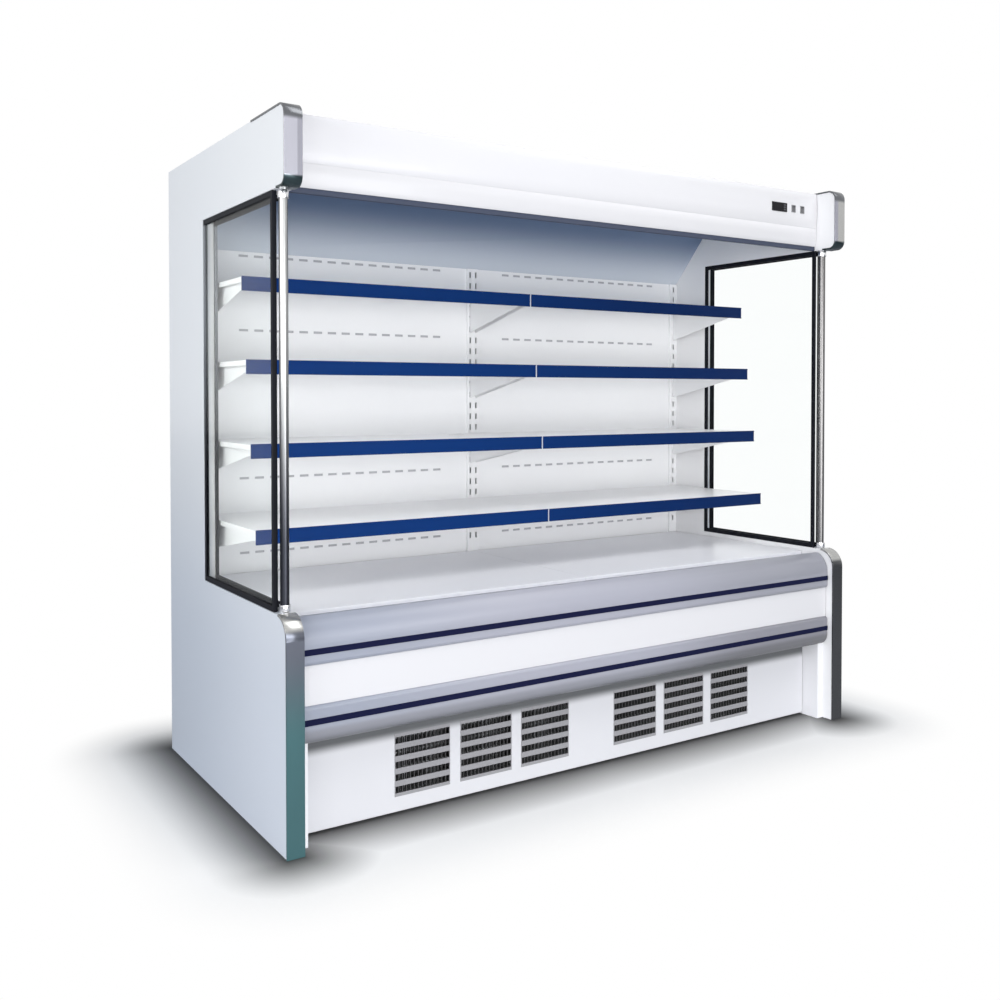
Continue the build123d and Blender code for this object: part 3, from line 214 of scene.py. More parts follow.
def grain_group(name):
    """Node group: slow colour drift, fine surface relief and uneven gloss."""
    tree = new_group(name,
                     {"Base": COLOUR, "Drift": COLOUR, "Stretch": VECTOR,
                      "Patch Scale": NUMBER, "Grain Scale": NUMBER, "Grain Depth": NUMBER,
                      "Gloss Low": NUMBER, "Gloss High": NUMBER},
                     {"Color": COLOUR, "Roughness": NUMBER, "Normal": VECTOR})
    add, link = tree.nodes.new, tree.links.new
    given = add("NodeGroupInput")
    place = add("ShaderNodeTexCoord")
    stretched = add("ShaderNodeVectorMath")
    stretched.operation = "MULTIPLY"
    link(place.outputs["Object"], stretched.inputs[0])
    link(given.outputs["Stretch"], stretched.inputs[1])
    patch = add("ShaderNodeTexNoise")
    patch.inputs["Detail"].default_value = PATCH_DETAIL
    link(stretched.outputs[0], patch.inputs["Vector"])
    link(given.outputs["Patch Scale"], patch.inputs["Scale"])
    mixed = add("ShaderNodeMix")
    mixed.data_type = "RGBA"
    link(patch.outputs["Fac"], mixed.inputs["Factor"])
    link(given.outputs["Base"], mixed.inputs["A"])
    link(given.outputs["Drift"], mixed.inputs["B"])
    grain = add("ShaderNodeTexNoise")
    grain.inputs["Detail"].default_value = GRAIN_DETAIL
    link(stretched.outputs[0], grain.inputs["Vector"])
    link(given.outputs["Grain Scale"], grain.inputs["Scale"])
    relief = add("ShaderNodeBump")
    relief.inputs["Distance"].default_value = RELIEF_DEPTH
    link(grain.outputs["Fac"], relief.inputs["Height"])
    link(given.outputs["Grain Depth"], relief.inputs["Strength"])
    gloss = add("ShaderNodeMapRange")
    link(patch.outputs["Fac"], gloss.inputs["Value"])
    link(given.outputs["Gloss Low"], gloss.inputs["To Min"])
    link(given.outputs["Gloss High"], gloss.inputs["To Max"])
    out = add("NodeGroupOutput")
    link(mixed.outputs["Result"], out.inputs["Color"])
    link(gloss.outputs["Result"], out.inputs["Roughness"])
    link(relief.outputs["Normal"], out.inputs["Normal"])
    return tree


surface_grain = grain_group("surface_grain")


def finish(name, base, drift, gloss, patch_scale, grain_scale, grain_depth,
           stretch=(1.0, 1.0, 1.0), metallic=0.0, coat=0.0, shine=0.5):
    """A material on the shared surface grain; without base and drift, a fade gives its colour."""
    paint = bpy.data.materials.new(name)
    paint.use_nodes = True
    tree = paint.node_tree
    shader = tree.nodes["Principled BSDF"]
    shader.inputs["Metallic"].default_value = metallic
    shader.inputs["Coat Weight"].default_value = coat
    shader.inputs["Coat Roughness"].default_value = COAT_ROUGHNESS
    shader.inputs["Specular IOR Level"].default_value = shine
    life = tree.nodes.new("ShaderNodeGroup")
    life.node_tree = surface_grain
    for label, tone in (("Base", base), ("Drift", drift)):
        if tone:
            life.inputs[label].default_value = (*tone, 1.0)
    life.inputs["Stretch"].default_value = stretch
    life.inputs["Patch Scale"].default_value = patch_scale
    life.inputs["Grain Scale"].default_value = grain_scale
    life.inputs["Grain Depth"].default_value = grain_depth
    life.inputs["Gloss Low"].default_value, life.inputs["Gloss High"].default_value = gloss
    tree.links.new(life.outputs["Color"], shader.inputs["Base Color"])
    tree.links.new(life.outputs["Roughness"], shader.inputs["Roughness"])
    tree.links.new(life.outputs["Normal"], shader.inputs["Normal"])
    return paint


def stoved(name, base=None, drift=None, gloss=(0.28, 0.38)):
    """Smooth stoving enamel, as on all the outer sheet."""
    return finish(name, base, drift, gloss, patch_scale=1.6, grain_scale=260.0, grain_depth=0.05,
                  coat=0.15, shine=0.35)


def dress(name, paint, edge=0.0, segments=2):
    """Gives a CAD node its finish, and rolls its sharp edges over by a small radius."""
    part = nodes[name]
    part.data.materials.clear()
    part.data.materials.append(paint)
    if edge:
        weld = part.modifiers.new("weld", "WELD")
        weld.merge_threshold = WELD_GAP
        roll = part.modifiers.new("rolled_edge", "BEVEL")
        roll.width = edge
        roll.segments = segments
        roll.limit_method = "ANGLE"
        roll.angle_limit = math.radians(SHARP_ANGLE)
        roll.use_clamp_overlap = True
        roll.harden_normals = True


def fade_group(name, across):
    """Node group: one colour passing into another along an axis, or out from the middle."""
    tree = new_group(name,
                     {"Near": COLOUR, "Far": COLOUR, "Axis": VECTOR, "From": NUMBER, "To": NUMBER},
                     {"Color": COLOUR})
    add, link = tree.nodes.new, tree.links.new
    given = add("NodeGroupInput")
    place = add("ShaderNodeTexCoord")
    spot = place.outputs["Object"]
    if across:
        unsigned = add("ShaderNodeVectorMath")
        unsigned.operation = "ABSOLUTE"
        link(spot, unsigned.inputs[0])
        spot = unsigned.outputs[0]
    along = add("ShaderNodeVectorMath")
    along.operation = "DOT_PRODUCT"
    link(spot, along.inputs[0])
    link(given.outputs["Axis"], along.inputs[1])
    share = add("ShaderNodeMapRange")
    share.interpolation_type = "SMOOTHSTEP"
    link(along.outputs["Value"], share.inputs["Value"])
    link(given.outputs["From"], share.inputs["From Min"])
    link(given.outputs["To"], share.inputs["From Max"])
    mixed = add("ShaderNodeMix")
    mixed.data_type = "RGBA"
    link(share.outputs["Result"], mixed.inputs["Factor"])
    link(given.outputs["Near"], mixed.inputs["A"])
    link(given.outputs["Far"], mixed.inputs["B"])
    out = add("NodeGroupOutput")
    link(mixed.outputs["Result"], out.inputs["Color"])
    return tree


one_way_fade = fade_group("one_way_fade", False)
two_way_fade = fade_group("two_way_fade", True)


def fade(paint, near, far, axis, span, group=one_way_fade, feeds=()):
    """A fade over a span of an axis in a paint; near and far are colours or other fades."""
    tree = paint.node_tree
    step = tree.nodes.new("ShaderNodeGroup")
    step.node_tree = group
    for label, value in (("Near", near), ("Far", far)):
        if isinstance(value, tuple):
            step.inputs[label].default_value = (*value, 1.0)
        else:
            tree.links.new(value, step.inputs[label])
    step.inputs["Axis"].default_value = axis
    step.inputs["From"].default_value, step.inputs["To"].default_value = span
    for label in feeds:
        tree.links.new(step.outputs["Color"], tree.nodes["Group"].inputs[label])
    return step.outputs["Color"]


def fade_all(paint, near, far, axis, span, group=one_way_fade):
    """The last fade of a paint, which gives both its tones."""
    fade(paint, near, far, axis, span, group, ("Base", "Drift"))


white_enamel = stoved("white_enamel", (0.735, 0.73, 0.75), (0.715, 0.71, 0.73))
frame_enamel = stoved("frame_enamel", (0.90, 0.90, 0.92), (0.88, 0.88, 0.90), gloss=(0.3, 0.4))
dress("base_frame", frame_enamel, edge=0.001)
liner_enamel = finish("liner_enamel", (0.95, 0.955, 0.965), (0.93, 0.935, 0.95), (0.32, 0.42),
                      patch_scale=2.0, grain_scale=260.0, grain_depth=0.05, coat=0.15)
dress("base_tub", liner_enamel, edge=0.002)

# ---- End panels -----------------------------------------------------------
# Each end is two enamelled steel skins foamed together, cut away for the window, with the front
# corners rounded to take the channel trims. The outer skin's colour carries painted light and shade:
# darker and bluer towards the base and towards the back, lighter up by the window.
FRONT_TO_BACK = (-0.45, 0.35)
BASE_TO_WINDOW = (0.40, 1.10)
INNER_TO_OUTER_SKIN = (1.075, 1.095)
end_enamel = stoved("end_enamel")
# painted light and shade on the outer skin: darker and bluer low down and towards the back
painted_shade_low_skin = fade(end_enamel, (0.68, 0.725, 0.80), (0.60, 0.655, 0.74), Y_AXIS, FRONT_TO_BACK)
painted_light_high_skin = fade(end_enamel, (0.83, 0.85, 0.87), (0.79, 0.82, 0.855), Y_AXIS, FRONT_TO_BACK)
painted_light_end_skin = fade(end_enamel, painted_shade_low_skin, painted_light_high_skin, Z_AXIS, BASE_TO_WINDOW)
fade_all(end_enamel, (0.92, 0.92, 0.93), painted_light_end_skin, X_AXIS, INNER_TO_OUTER_SKIN, two_way_fade)
for end_name in ("left_end_panel", "right_end_panel"):
    dress(end_name, end_enamel, edge=0.0015)

# ---- Edge trims -------------------------------------------------------------
# Bent satin channels snap over the front edges of the end panels, one round the canopy end and one
# over the shoulder of the base. Their colours are painted reflection and shade: the upper trim has a
# darker inner edge and dark bands at its foot and head bends, the lower trim a dark flank, teal-grey
# low on the left end, under a bright shoulder, and each trim takes a different tone at each end.
LEFT_TO_RIGHT_END = (-0.3, 0.3)
TRIM_INNER_EDGE = (1.076, 1.080)
UPPER_TRIM_FOOT = (1.804, 1.812)
UPPER_TRIM_HEAD = (1.952, 1.964)
LOWER_TRIM_RISE = (0.30, 0.56)
LOWER_TRIM_SHOULDER = (0.598, 0.612)


def trim_metal(name):
    """Satin coated channel, brushed across."""
    return finish(name, None, None, (0.2, 0.3), patch_scale=4.0, grain_scale=300.0,
                  grain_depth=0.04, stretch=(6.0, 1.0, 1.0), metallic=0.75)


upper_trim_metal = trim_metal("upper_trim_metal")
# painted reflection: lighter on the left end, a darker inner edge, a near-black band at the foot
# bend and a dark head
upper_trim_painted_reflection = fade(upper_trim_metal, (0.48, 0.48, 0.54), (0.42, 0.42, 0.41),
                  X_AXIS, LEFT_TO_RIGHT_END)
upper_trim_painted_reflection = fade(upper_trim_metal, (0.34, 0.34, 0.39), upper_trim_painted_reflection,
                  X_AXIS, TRIM_INNER_EDGE, two_way_fade)
upper_trim_painted_reflection = fade(upper_trim_metal, (0.035, 0.055, 0.06), upper_trim_painted_reflection, Z_AXIS, UPPER_TRIM_FOOT)
fade_all(upper_trim_metal, upper_trim_painted_reflection, (0.13, 0.135, 0.145), Z_AXIS, UPPER_TRIM_HEAD)
lower_trim_metal = trim_metal("lower_trim_metal")
# painted reflection: a teal-grey low flank on the left end, a dark flank on the right, a bright
# shoulder above
left_flank_painted_reflection = fade(lower_trim_metal, (0.085, 0.19, 0.20), (0.13, 0.14, 0.17),
                  Z_AXIS, LOWER_TRIM_RISE)
flank_painted_reflection = fade(lower_trim_metal, left_flank_painted_reflection, (0.072, 0.074, 0.078), X_AXIS, LEFT_TO_RIGHT_END)
fade_all(lower_trim_metal, flank_painted_reflection, (0.42, 0.42, 0.41), Z_AXIS, LOWER_TRIM_SHOULDER)
dress("upper_edge_trims", upper_trim_metal, edge=0.0008)
dress("lower_edge_trims", lower_trim_metal, edge=0.0008)

# ---- End windows --------------------------------------------------------------
# A clear toughened pane sits between two black rubber rings in each end, and a stainless tube in
# turned sockets stands in front of it. The rear bar of the left ring is painted grey under a black
# head, fading to black lower down, as a painted highlight; the tubes carry painted reflection and
# shade.
PANE_COLOUR, PANE_IOR = (0.97, 0.99, 0.985, 1.0), 1.1
SMEAR_SCALE, SMEAR_HAZE = 9.0, 0.03
REAR_BAR_RISE, REAR_BAR_HEAD = (0.95, 1.60), (1.760, 1.768)
REAR_BAR_FRONT = (0.140, 0.144)
LEFT_TO_RIGHT_RING = (-0.5, 0.5)
RING_BLACK = (0.006, 0.007, 0.011)
TUBE_RISE = (0.80, 1.50)
TUBE_RIM, TUBE_RIM_BLEND = (0.16, 0.16, 0.18, 1.0), 0.35
window_pane = bpy.data.materials.new("window_pane")
window_pane.use_nodes = True
pane = window_pane.node_tree
pane_shader = pane.nodes["Principled BSDF"]
pane_shader.inputs["Base Color"].default_value = PANE_COLOUR
pane_shader.inputs["Transmission Weight"].default_value = 1.0
pane_shader.inputs["IOR"].default_value = PANE_IOR
pane_smear = pane.nodes.new("ShaderNodeTexNoise")
pane_smear.inputs["Scale"].default_value = SMEAR_SCALE
pane_gloss = pane.nodes.new("ShaderNodeMapRange")
pane_gloss.inputs["To Max"].default_value = SMEAR_HAZE
pane.links.new(pane_smear.outputs["Fac"], pane_gloss.inputs["Value"])
pane.links.new(pane_gloss.outputs["Result"], pane_shader.inputs["Roughness"])
dress("window_glass", window_pane)
gasket_rubber = finish("gasket_rubber", None, None, (0.5, 0.7),
                       patch_scale=12.0, grain_scale=700.0, grain_depth=0.2, shine=0.15)
# painted highlight: the left ring's rear bar turns grey higher up, under a black head
rear_bar_painted_highlight = fade(gasket_rubber, RING_BLACK, (0.22, 0.23, 0.25), Z_AXIS, REAR_BAR_RISE)
rear_bar_painted_highlight = fade(gasket_rubber, rear_bar_painted_highlight, RING_BLACK, Z_AXIS, REAR_BAR_HEAD)
rear_bar_painted_highlight = fade(gasket_rubber, rear_bar_painted_highlight, RING_BLACK, X_AXIS, LEFT_TO_RIGHT_RING)
fade_all(gasket_rubber, RING_BLACK, rear_bar_painted_highlight, Y_AXIS, REAR_BAR_FRONT)
dress("window_gaskets", gasket_rubber, edge=0.002, segments=3)
tube_steel = finish("tube_steel", None, None, (0.22, 0.34), patch_scale=5.0, grain_scale=500.0,
                    grain_depth=0.08, stretch=(8.0, 8.0, 0.4), metallic=1.0)
# painted reflection: the left tube darkens from a light top to near black low down, the right tube
# is a flat mid grey
left_tube_painted_reflection = fade(tube_steel, (0.048, 0.051, 0.062), (0.44, 0.445, 0.445), Z_AXIS, TUBE_RISE)
fade_all(tube_steel, left_tube_painted_reflection, (0.20, 0.195, 0.195), X_AXIS, LEFT_TO_RIGHT_END)


def multiplied(tree, share, first, second):
    """Base Color made of two colours multiplied; share and second may be fixed values."""
    mix = tree.nodes.new("ShaderNodeMix")
    mix.data_type = "RGBA"
    mix.blend_type = "MULTIPLY"
    for label, value in (("Factor", share), ("A", first), ("B", second)):
        if isinstance(value, (float, tuple)):
            mix.inputs[label].default_value = value
        else:
            tree.links.new(value, mix.inputs[label])
    tree.links.new(mix.outputs["Result"], tree.nodes["Principled BSDF"].inputs["Base Color"])


# painted shade: the tube's colour is darkened towards its silhouette edges
tube_rim_painted_shade = tube_steel.node_tree.nodes.new("ShaderNodeLayerWeight")
tube_rim_painted_shade.inputs["Blend"].default_value = TUBE_RIM_BLEND
multiplied(tube_steel.node_tree, tube_rim_painted_shade.outputs["Facing"],
           tube_steel.node_tree.nodes["Group"].outputs["Color"], TUBE_RIM)
dress("front_posts", tube_steel)
socket_chrome = finish("socket_chrome", (0.75, 0.75, 0.76), (0.68, 0.68, 0.70), (0.12, 0.2),
                       patch_scale=8.0, grain_scale=500.0, grain_depth=0.03, metallic=1.0)
dress("post_sockets", socket_chrome, edge=0.0015, segments=3)

# ---- Rear wall, roof and mains inlet --------------------------------------------
# Plain zinc-coated sheet skins the foam behind, riveted round the edge, with a
# nylon gland where the mains lead enters. The roof sheet is enamelled.
SPANGLE_SCALE, SPANGLE_DARKEST = 90.0, 0.86
RIVET_RADIUS, RIVET_RISE, RIVET_SINK = 0.0045, 0.0022, 0.0002
RIVET_SIDES, RIVET_RINGS, RIVET_FALL = 12, (0.0, 0.35, 0.7, 1.0), 0.9
RIVET_INSET, RIVETS_ALONG, RIVETS_UP = 0.02, 10, 9
zinc_sheet = finish("zinc_sheet", (0.50, 0.52, 0.54), (0.44, 0.46, 0.48), (0.38, 0.52),
                    patch_scale=2.0, grain_scale=300.0, grain_depth=0.06, metallic=0.7)
zinc = zinc_sheet.node_tree
crystal = zinc.nodes.new("ShaderNodeTexVoronoi")
crystal.inputs["Scale"].default_value = SPANGLE_SCALE
crystal_place = zinc.nodes.new("ShaderNodeTexCoord")
zinc.links.new(crystal_place.outputs["Object"], crystal.inputs["Vector"])
crystal_tone = zinc.nodes.new("ShaderNodeMapRange")
crystal_tone.inputs["To Min"].default_value = SPANGLE_DARKEST
zinc.links.new(crystal.outputs["Color"], crystal_tone.inputs["Value"])
multiplied(zinc, 1.0, zinc.nodes["Group"].outputs["Color"], crystal_tone.outputs["Result"])
dress("rear_panel", zinc_sheet, edge=0.001)


def placed(name, mesh, paint):
    """Puts a made mesh into the scene under its own name, with its finish."""
    piece = bpy.data.objects.new(name, mesh)
    scene.collection.objects.link(piece)
    mesh.materials.append(paint)
    return piece


def finished_mesh(name, shape):
    """Turns a closed shape into a mesh with its faces outwards."""
    bmesh.ops.recalc_face_normals(shape, faces=shape.faces)
    mesh = bpy.data.meshes.new(name)
    shape.to_mesh(mesh)
    shape.free()
    return mesh


def rivet_rows(name, places, face, paint):
    """Domed blind rivets standing off an upright face, all in one mesh."""
    shape = bmesh.new()
    for x, z in places:
        last = None
        for share in RIVET_RINGS:
            reach = RIVET_RADIUS * math.sqrt(1.0 - RIVET_FALL * share * share)
            rim = []
            for step in range(RIVET_SIDES):
                turn = math.radians(step * 360.0 / RIVET_SIDES)
                rim.append(shape.verts.new((x + reach * math.cos(turn),
                                            face - RIVET_SINK + RIVET_RISE * share,
                                            z + reach * math.sin(turn))))
            if last:
                for step in range(RIVET_SIDES):
                    after = (step + 1) % RIVET_SIDES
                    shape.faces.new((last[step], last[after], rim[after], rim[step]))
            else:
                shape.faces.new(rim)
            last = rim
        shape.faces.new(last)
    mesh = finished_mesh(name, shape)
    mesh.shade_smooth()
    return placed(name, mesh, paint)


rivet_metal = finish("rivet_metal", (0.60, 0.61, 0.62), (0.52, 0.53, 0.54), (0.25, 0.4),
                     patch_scale=40.0, grain_scale=900.0, grain_depth=0.05, metallic=0.9)
rear_low, rear_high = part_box("rear_panel")
rivet_left, rivet_right = rear_low.x + RIVET_INSET, rear_high.x - RIVET_INSET
rivet_foot, rivet_head = rear_low.z + RIVET_INSET, rear_high.z - RIVET_INSET
rivet_places = []
for step in range(RIVETS_ALONG + 1):
    x = rivet_left + (rivet_right - rivet_left) * step / RIVETS_ALONG
    rivet_places += [(x, rivet_foot), (x, rivet_head)]
for step in range(1, RIVETS_UP):
    z = rivet_foot + (rivet_head - rivet_foot) * step / RIVETS_UP
    rivet_places += [(rivet_left, z), (0.0, z), (rivet_right, z)]
rear_rivets = rivet_rows("rear_rivets", rivet_places, rear_high.y, rivet_metal)
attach(rear_rivets, "cabinet")
dress("roof_panel", white_enamel, edge=0.001)
black_nylon = finish("black_nylon", (0.02, 0.02, 0.022), (0.03, 0.03, 0.032), (0.35, 0.5),
                     patch_scale=20.0, grain_scale=900.0, grain_depth=0.15)
dress("power_gland", black_nylon, edge=0.0006)

# ---- Canopy -------------------------------------------------------------------
# A lightly curved enamelled fascia with a second strip below its seam hides the air duct, and a
# rubber lip closes the gap under it. The fascia's enamel is painted a little darker towards its
# right end, as painted shade.
FASCIA_RUN = (-1.0, 1.0)
fascia_enamel = stoved("fascia_enamel")
# painted shade: the fascia darkens slightly towards the right end
fade_all(fascia_enamel, (0.70, 0.695, 0.715), (0.67, 0.665, 0.68), X_AXIS, FASCIA_RUN)
dress("canopy_fascia", fascia_enamel, edge=0.0005)
strip_enamel = stoved("strip_enamel", (0.68, 0.675, 0.69), (0.66, 0.655, 0.67))
dress("fascia_lower_strip", strip_enamel, edge=0.0008)
lip_rubber = finish("lip_rubber", (0.05, 0.06, 0.095), (0.06, 0.072, 0.11), (0.5, 0.65),
                    patch_scale=6.0, grain_scale=700.0, grain_depth=0.15, shine=0.2)
dress("canopy_lip_seal", lip_rubber)

# ---- Ceiling, air outlet and lamps --------------------------------------------
# The ceiling sheet slants down to the back wall. Cold air falls through a moulded honeycomb at its
# front, and an opal lamp sits before each bay. The ceiling's colour is painted shade: dark slate
# blue high at the front under the fascia, a little lighter to the right, fading to a pale blue-white
# down the slope.
CEILING_RUN, CEILING_SLOPE = (-0.8, 0.6), (1.72, 1.90)
ceiling_enamel = finish("ceiling_enamel", None, None, (0.34, 0.44),
                        patch_scale=2.0, grain_scale=260.0, grain_depth=0.05, shine=0.25)
# painted shade: dark slate blue high under the fascia, lighter to the right
ceiling_painted_shade = fade(ceiling_enamel, (0.118, 0.172, 0.285), (0.155, 0.215, 0.335),
                     X_AXIS, CEILING_RUN)
fade_all(ceiling_enamel, (0.68, 0.73, 0.80), ceiling_painted_shade, Z_AXIS, CEILING_SLOPE)
dress("ceiling_panel", ceiling_enamel, edge=0.001)
outlet_plastic = finish("outlet_plastic", (0.30, 0.34, 0.40), (0.26, 0.30, 0.36), (0.45, 0.6),
                        patch_scale=8.0, grain_scale=800.0, grain_depth=0.12)
dress("air_outlet_grille", outlet_plastic)
lamp_opal = finish("lamp_opal", (0.80, 0.80, 0.78), (0.76, 0.76, 0.74), (0.2, 0.28),
                   patch_scale=6.0, grain_scale=500.0, grain_depth=0.02)
dress("canopy_lamp", lamp_opal)

# ---- Controls ---------------------------------------------------------------------
# A black thermostat display and two rocker switches are clipped into cut-outs
# at the right of the fascia. The display has a smoked window and three keys.
CORNER_STEPS, EDGE_SHARE = 4, 0.4
PLATE_SINK = 0.0004
WINDOW_LEFT, WINDOW_RIGHT, WINDOW_BELOW, WINDOW_ABOVE = 0.006, 0.024, 0.010, 0.005
WINDOW_LIFT, WINDOW_CORNER = 0.0008, 0.0015
KEY_COUNT, KEY_FOOT, KEY_PITCH = 3, 0.0055, 0.0085
KEY_FROM, KEY_TO, KEY_TALL = 0.019, 0.007, 0.0055
KEY_LIFT, KEY_CORNER = 0.0012, 0.0018
display_black = finish("display_black", (0.006, 0.006, 0.008), (0.009, 0.009, 0.011), (0.3, 0.4),
                       patch_scale=20.0, grain_scale=900.0, grain_depth=0.02, shine=0.15)
dress("controller_display", display_black, edge=0.0006)


def soft_plate(name, corners, depth, lift, radius, paint):
    """A small moulded plate with rounded corners, standing on an upright face."""
    (x_low, z_low), (x_high, z_high) = corners
    left, right, foot, head = x_low + radius, x_high - radius, z_low + radius, z_high - radius
    shape = bmesh.new()
    ring = []
    for cx, cz, start in ((right, head, 0), (left, head, 90), (left, foot, 180), (right, foot, 270)):
        for step in range(CORNER_STEPS + 1):
            turn = math.radians(start + step * 90.0 / CORNER_STEPS)
            ring.append(shape.verts.new((cx + radius * math.cos(turn), depth,
                                         cz + radius * math.sin(turn))))
    face = shape.faces.new(ring)
    pushed = bmesh.ops.extrude_face_region(shape, geom=[face])
    for corner in (v for v in pushed["geom"] if isinstance(v, bmesh.types.BMVert)):
        corner.co.y -= lift
    plate = placed(name, finished_mesh(name, shape), paint)
    roll = plate.modifiers.new("rolled_edge", "BEVEL")
    roll.width = lift * EDGE_SHARE
    roll.segments = 2
    roll.limit_method = "ANGLE"
    return plate


display_low, display_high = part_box("controller_display")
display_face = display_low.y + PLATE_SINK
window_smoke = finish("window_smoke", (0.003, 0.003, 0.005), (0.005, 0.005, 0.007), (0.08, 0.12),
                      patch_scale=20.0, grain_scale=900.0, grain_depth=0.01, shine=0.2)
key_rubber = finish("key_rubber", (0.045, 0.045, 0.05), (0.06, 0.06, 0.065), (0.5, 0.65),
                    patch_scale=40.0, grain_scale=900.0, grain_depth=0.15)
display_window = soft_plate("display_window",
                            ((display_low.x + WINDOW_LEFT, display_low.z + WINDOW_BELOW),
                             (display_high.x - WINDOW_RIGHT, display_high.z - WINDOW_ABOVE)),
                            display_face, WINDOW_LIFT, WINDOW_CORNER, window_smoke)
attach(display_window, "cabinet")
for key in range(KEY_COUNT):
    key_z = display_low.z + KEY_FOOT + key * KEY_PITCH
    display_key = soft_plate(f"display_key_{key + 1}",
                             ((display_high.x - KEY_FROM, key_z),
                              (display_high.x - KEY_TO, key_z + KEY_TALL)),
                             display_face, KEY_LIFT, KEY_CORNER, key_rubber)
    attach(display_key, "cabinet")
bezel_grey = finish("bezel_grey", (0.20, 0.20, 0.21), (0.25, 0.25, 0.26), (0.35, 0.5),
                    patch_scale=30.0, grain_scale=900.0, grain_depth=0.15)
dress("switch_bezels", bezel_grey, edge=0.0006)
rocker_grey = finish("rocker_grey", (0.10, 0.10, 0.105), (0.14, 0.14, 0.145), (0.25, 0.4),
                     patch_scale=30.0, grain_scale=900.0, grain_depth=0.1)
for rocker in ("lamp_switch_rocker", "fan_switch_rocker"):
    dress(rocker, rocker_grey, edge=0.0006)

# ---- Back wall and shelf uprights ----------------------------------------------
# Enamelled sheets with punched slots let the cold air out behind the goods, with a folded baffle
# behind each row, painted mid grey so that the slots show painted shade, and uprights with hook
# slots between.
SLOT_ROWS = (1.705, 1.452, 0.946, 0.690)
BAFFLE_RUN = (0.12, 0.95)
BAFFLE_GAP, BAFFLE_GAUGE, BAFFLE_LIP = 0.0009, 0.0008, 0.008
BAFFLE_FLAT, BAFFLE_EDGE, BAFFLE_ROLL = 0.012, 0.014, 0.3
dress("back_panels", liner_enamel)
dress("shelf_uprights", liner_enamel, edge=0.0005)
dress("shelf_brackets", liner_enamel, edge=0.0004)


def folded_strip(name, line, run, paint):
    """A strip of baffle sheet folded to a line in Y and Z, running along the case."""
    mesh = bpy.data.meshes.new(name)
    count = len(line)
    mesh.from_pydata([(x, y, z) for x in run for y, z in line], [],
                     [(i, i + 1, i + 1 + count, i + count) for i in range(count - 1)])
    strip = placed(name, mesh, paint)
    skin = strip.modifiers.new("gauge", "SOLIDIFY")
    skin.thickness = BAFFLE_GAUGE
    skin.offset = 1.0
    roll = strip.modifiers.new("rolled_edge", "BEVEL")
    roll.width = BAFFLE_GAUGE * BAFFLE_ROLL
    roll.limit_method = "ANGLE"
    return strip


# painted shade: mid-grey sheets close the slots from behind in place of the shaded duct
shade_baffle_grey = finish("shade_baffle_grey", (0.50, 0.50, 0.53), (0.45, 0.45, 0.48), (0.45, 0.6),
                       patch_scale=6.0, grain_scale=500.0, grain_depth=0.1)
baffle_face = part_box("back_panels")[1][1] + BAFFLE_GAP
baffle_back = baffle_face + BAFFLE_LIP
for row, slot_z in enumerate(SLOT_ROWS, 1):
    fold = [(baffle_back, slot_z - BAFFLE_EDGE), (baffle_face, slot_z - BAFFLE_FLAT),
            (baffle_face, slot_z + BAFFLE_FLAT), (baffle_back, slot_z + BAFFLE_EDGE)]
    for bay, side in (("left", -1.0), ("right", 1.0)):
        baffle = folded_strip(f"{bay}_slot_shade_baffle_{row}", fold,
                              sorted(side * reach for reach in BAFFLE_RUN), shade_baffle_grey)
        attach(baffle, "cabinet")

# ---- Shelf trays and price rails ---------------------------------------------------
# Each level has a folded enamelled tray in each bay, with a deep blue
# extruded rail on its front lip to carry the price tickets.
RAIL_RUN = (-0.6, 0.9)
ALONG_CASE = (0.3, 1.0, 1.0)
tray_enamel = finish("tray_enamel", (0.96, 0.96, 0.97), (0.945, 0.945, 0.955), (0.3, 0.4),
                     patch_scale=2.5, grain_scale=260.0, grain_depth=0.05, coat=0.2)
rail_blue = finish("rail_blue", None, None, (0.4, 0.5), patch_scale=3.0, grain_scale=500.0,
                   grain_depth=0.03, stretch=ALONG_CASE, shine=0.08)
# painted shade: the rails darken towards the right end
fade_all(rail_blue, (0.0022, 0.030, 0.150), (0.0018, 0.018, 0.092), X_AXIS, RAIL_RUN)
for bay in ("left", "right"):
    for level in (1, 2, 3, 4):
        dress(f"{bay}_shelf_tray_{level}", tray_enamel, edge=0.0008)
        dress(f"{bay}_price_rail_{level}", rail_blue, edge=0.0008)

# ---- Deck and return air grille -------------------------------------------------------
# Two folded pans form the lowest display level over the coil, on zinc-coated
# rails, and a slotted strip in front of them draws the air back in.
deck_enamel = finish("deck_enamel", (0.94, 0.945, 0.985), (0.925, 0.93, 0.97), (0.3, 0.42),
                     patch_scale=2.0, grain_scale=260.0, grain_depth=0.05, coat=0.1)
for bay in ("left", "right"):
    dress(f"{bay}_deck_pan", deck_enamel, edge=0.0008)
dress("deck_support_rails", zinc_sheet)
dress("return_air_grille", deck_enamel)

# ---- Bumpers and front panel ------------------------------------------------------------
# Two extruded grey bumpers with navy insert strips guard the front from trolleys, with a plain
# enamelled panel between them. The bumper grey is painted shade: near black along the underside of
# the lower bumper's lip, darker towards the right end, a little darker at the left end, and the
# lower bumper darker than the upper at the right.
LIP_RUN, NOSE_LEFT_RUN, NOSE_RIGHT_RUN = (0.1, 0.7), (-1.06, -0.3), (0.1, 0.75)
LIP_RISE, LIP_TO_NOSE, BETWEEN_BUMPERS = (0.272, 0.312), (0.314, 0.340), (0.42, 0.48)
bumper_grey = finish("bumper_grey", None, None, (0.35, 0.48), patch_scale=3.0, grain_scale=600.0,
                     grain_depth=0.08, stretch=ALONG_CASE)
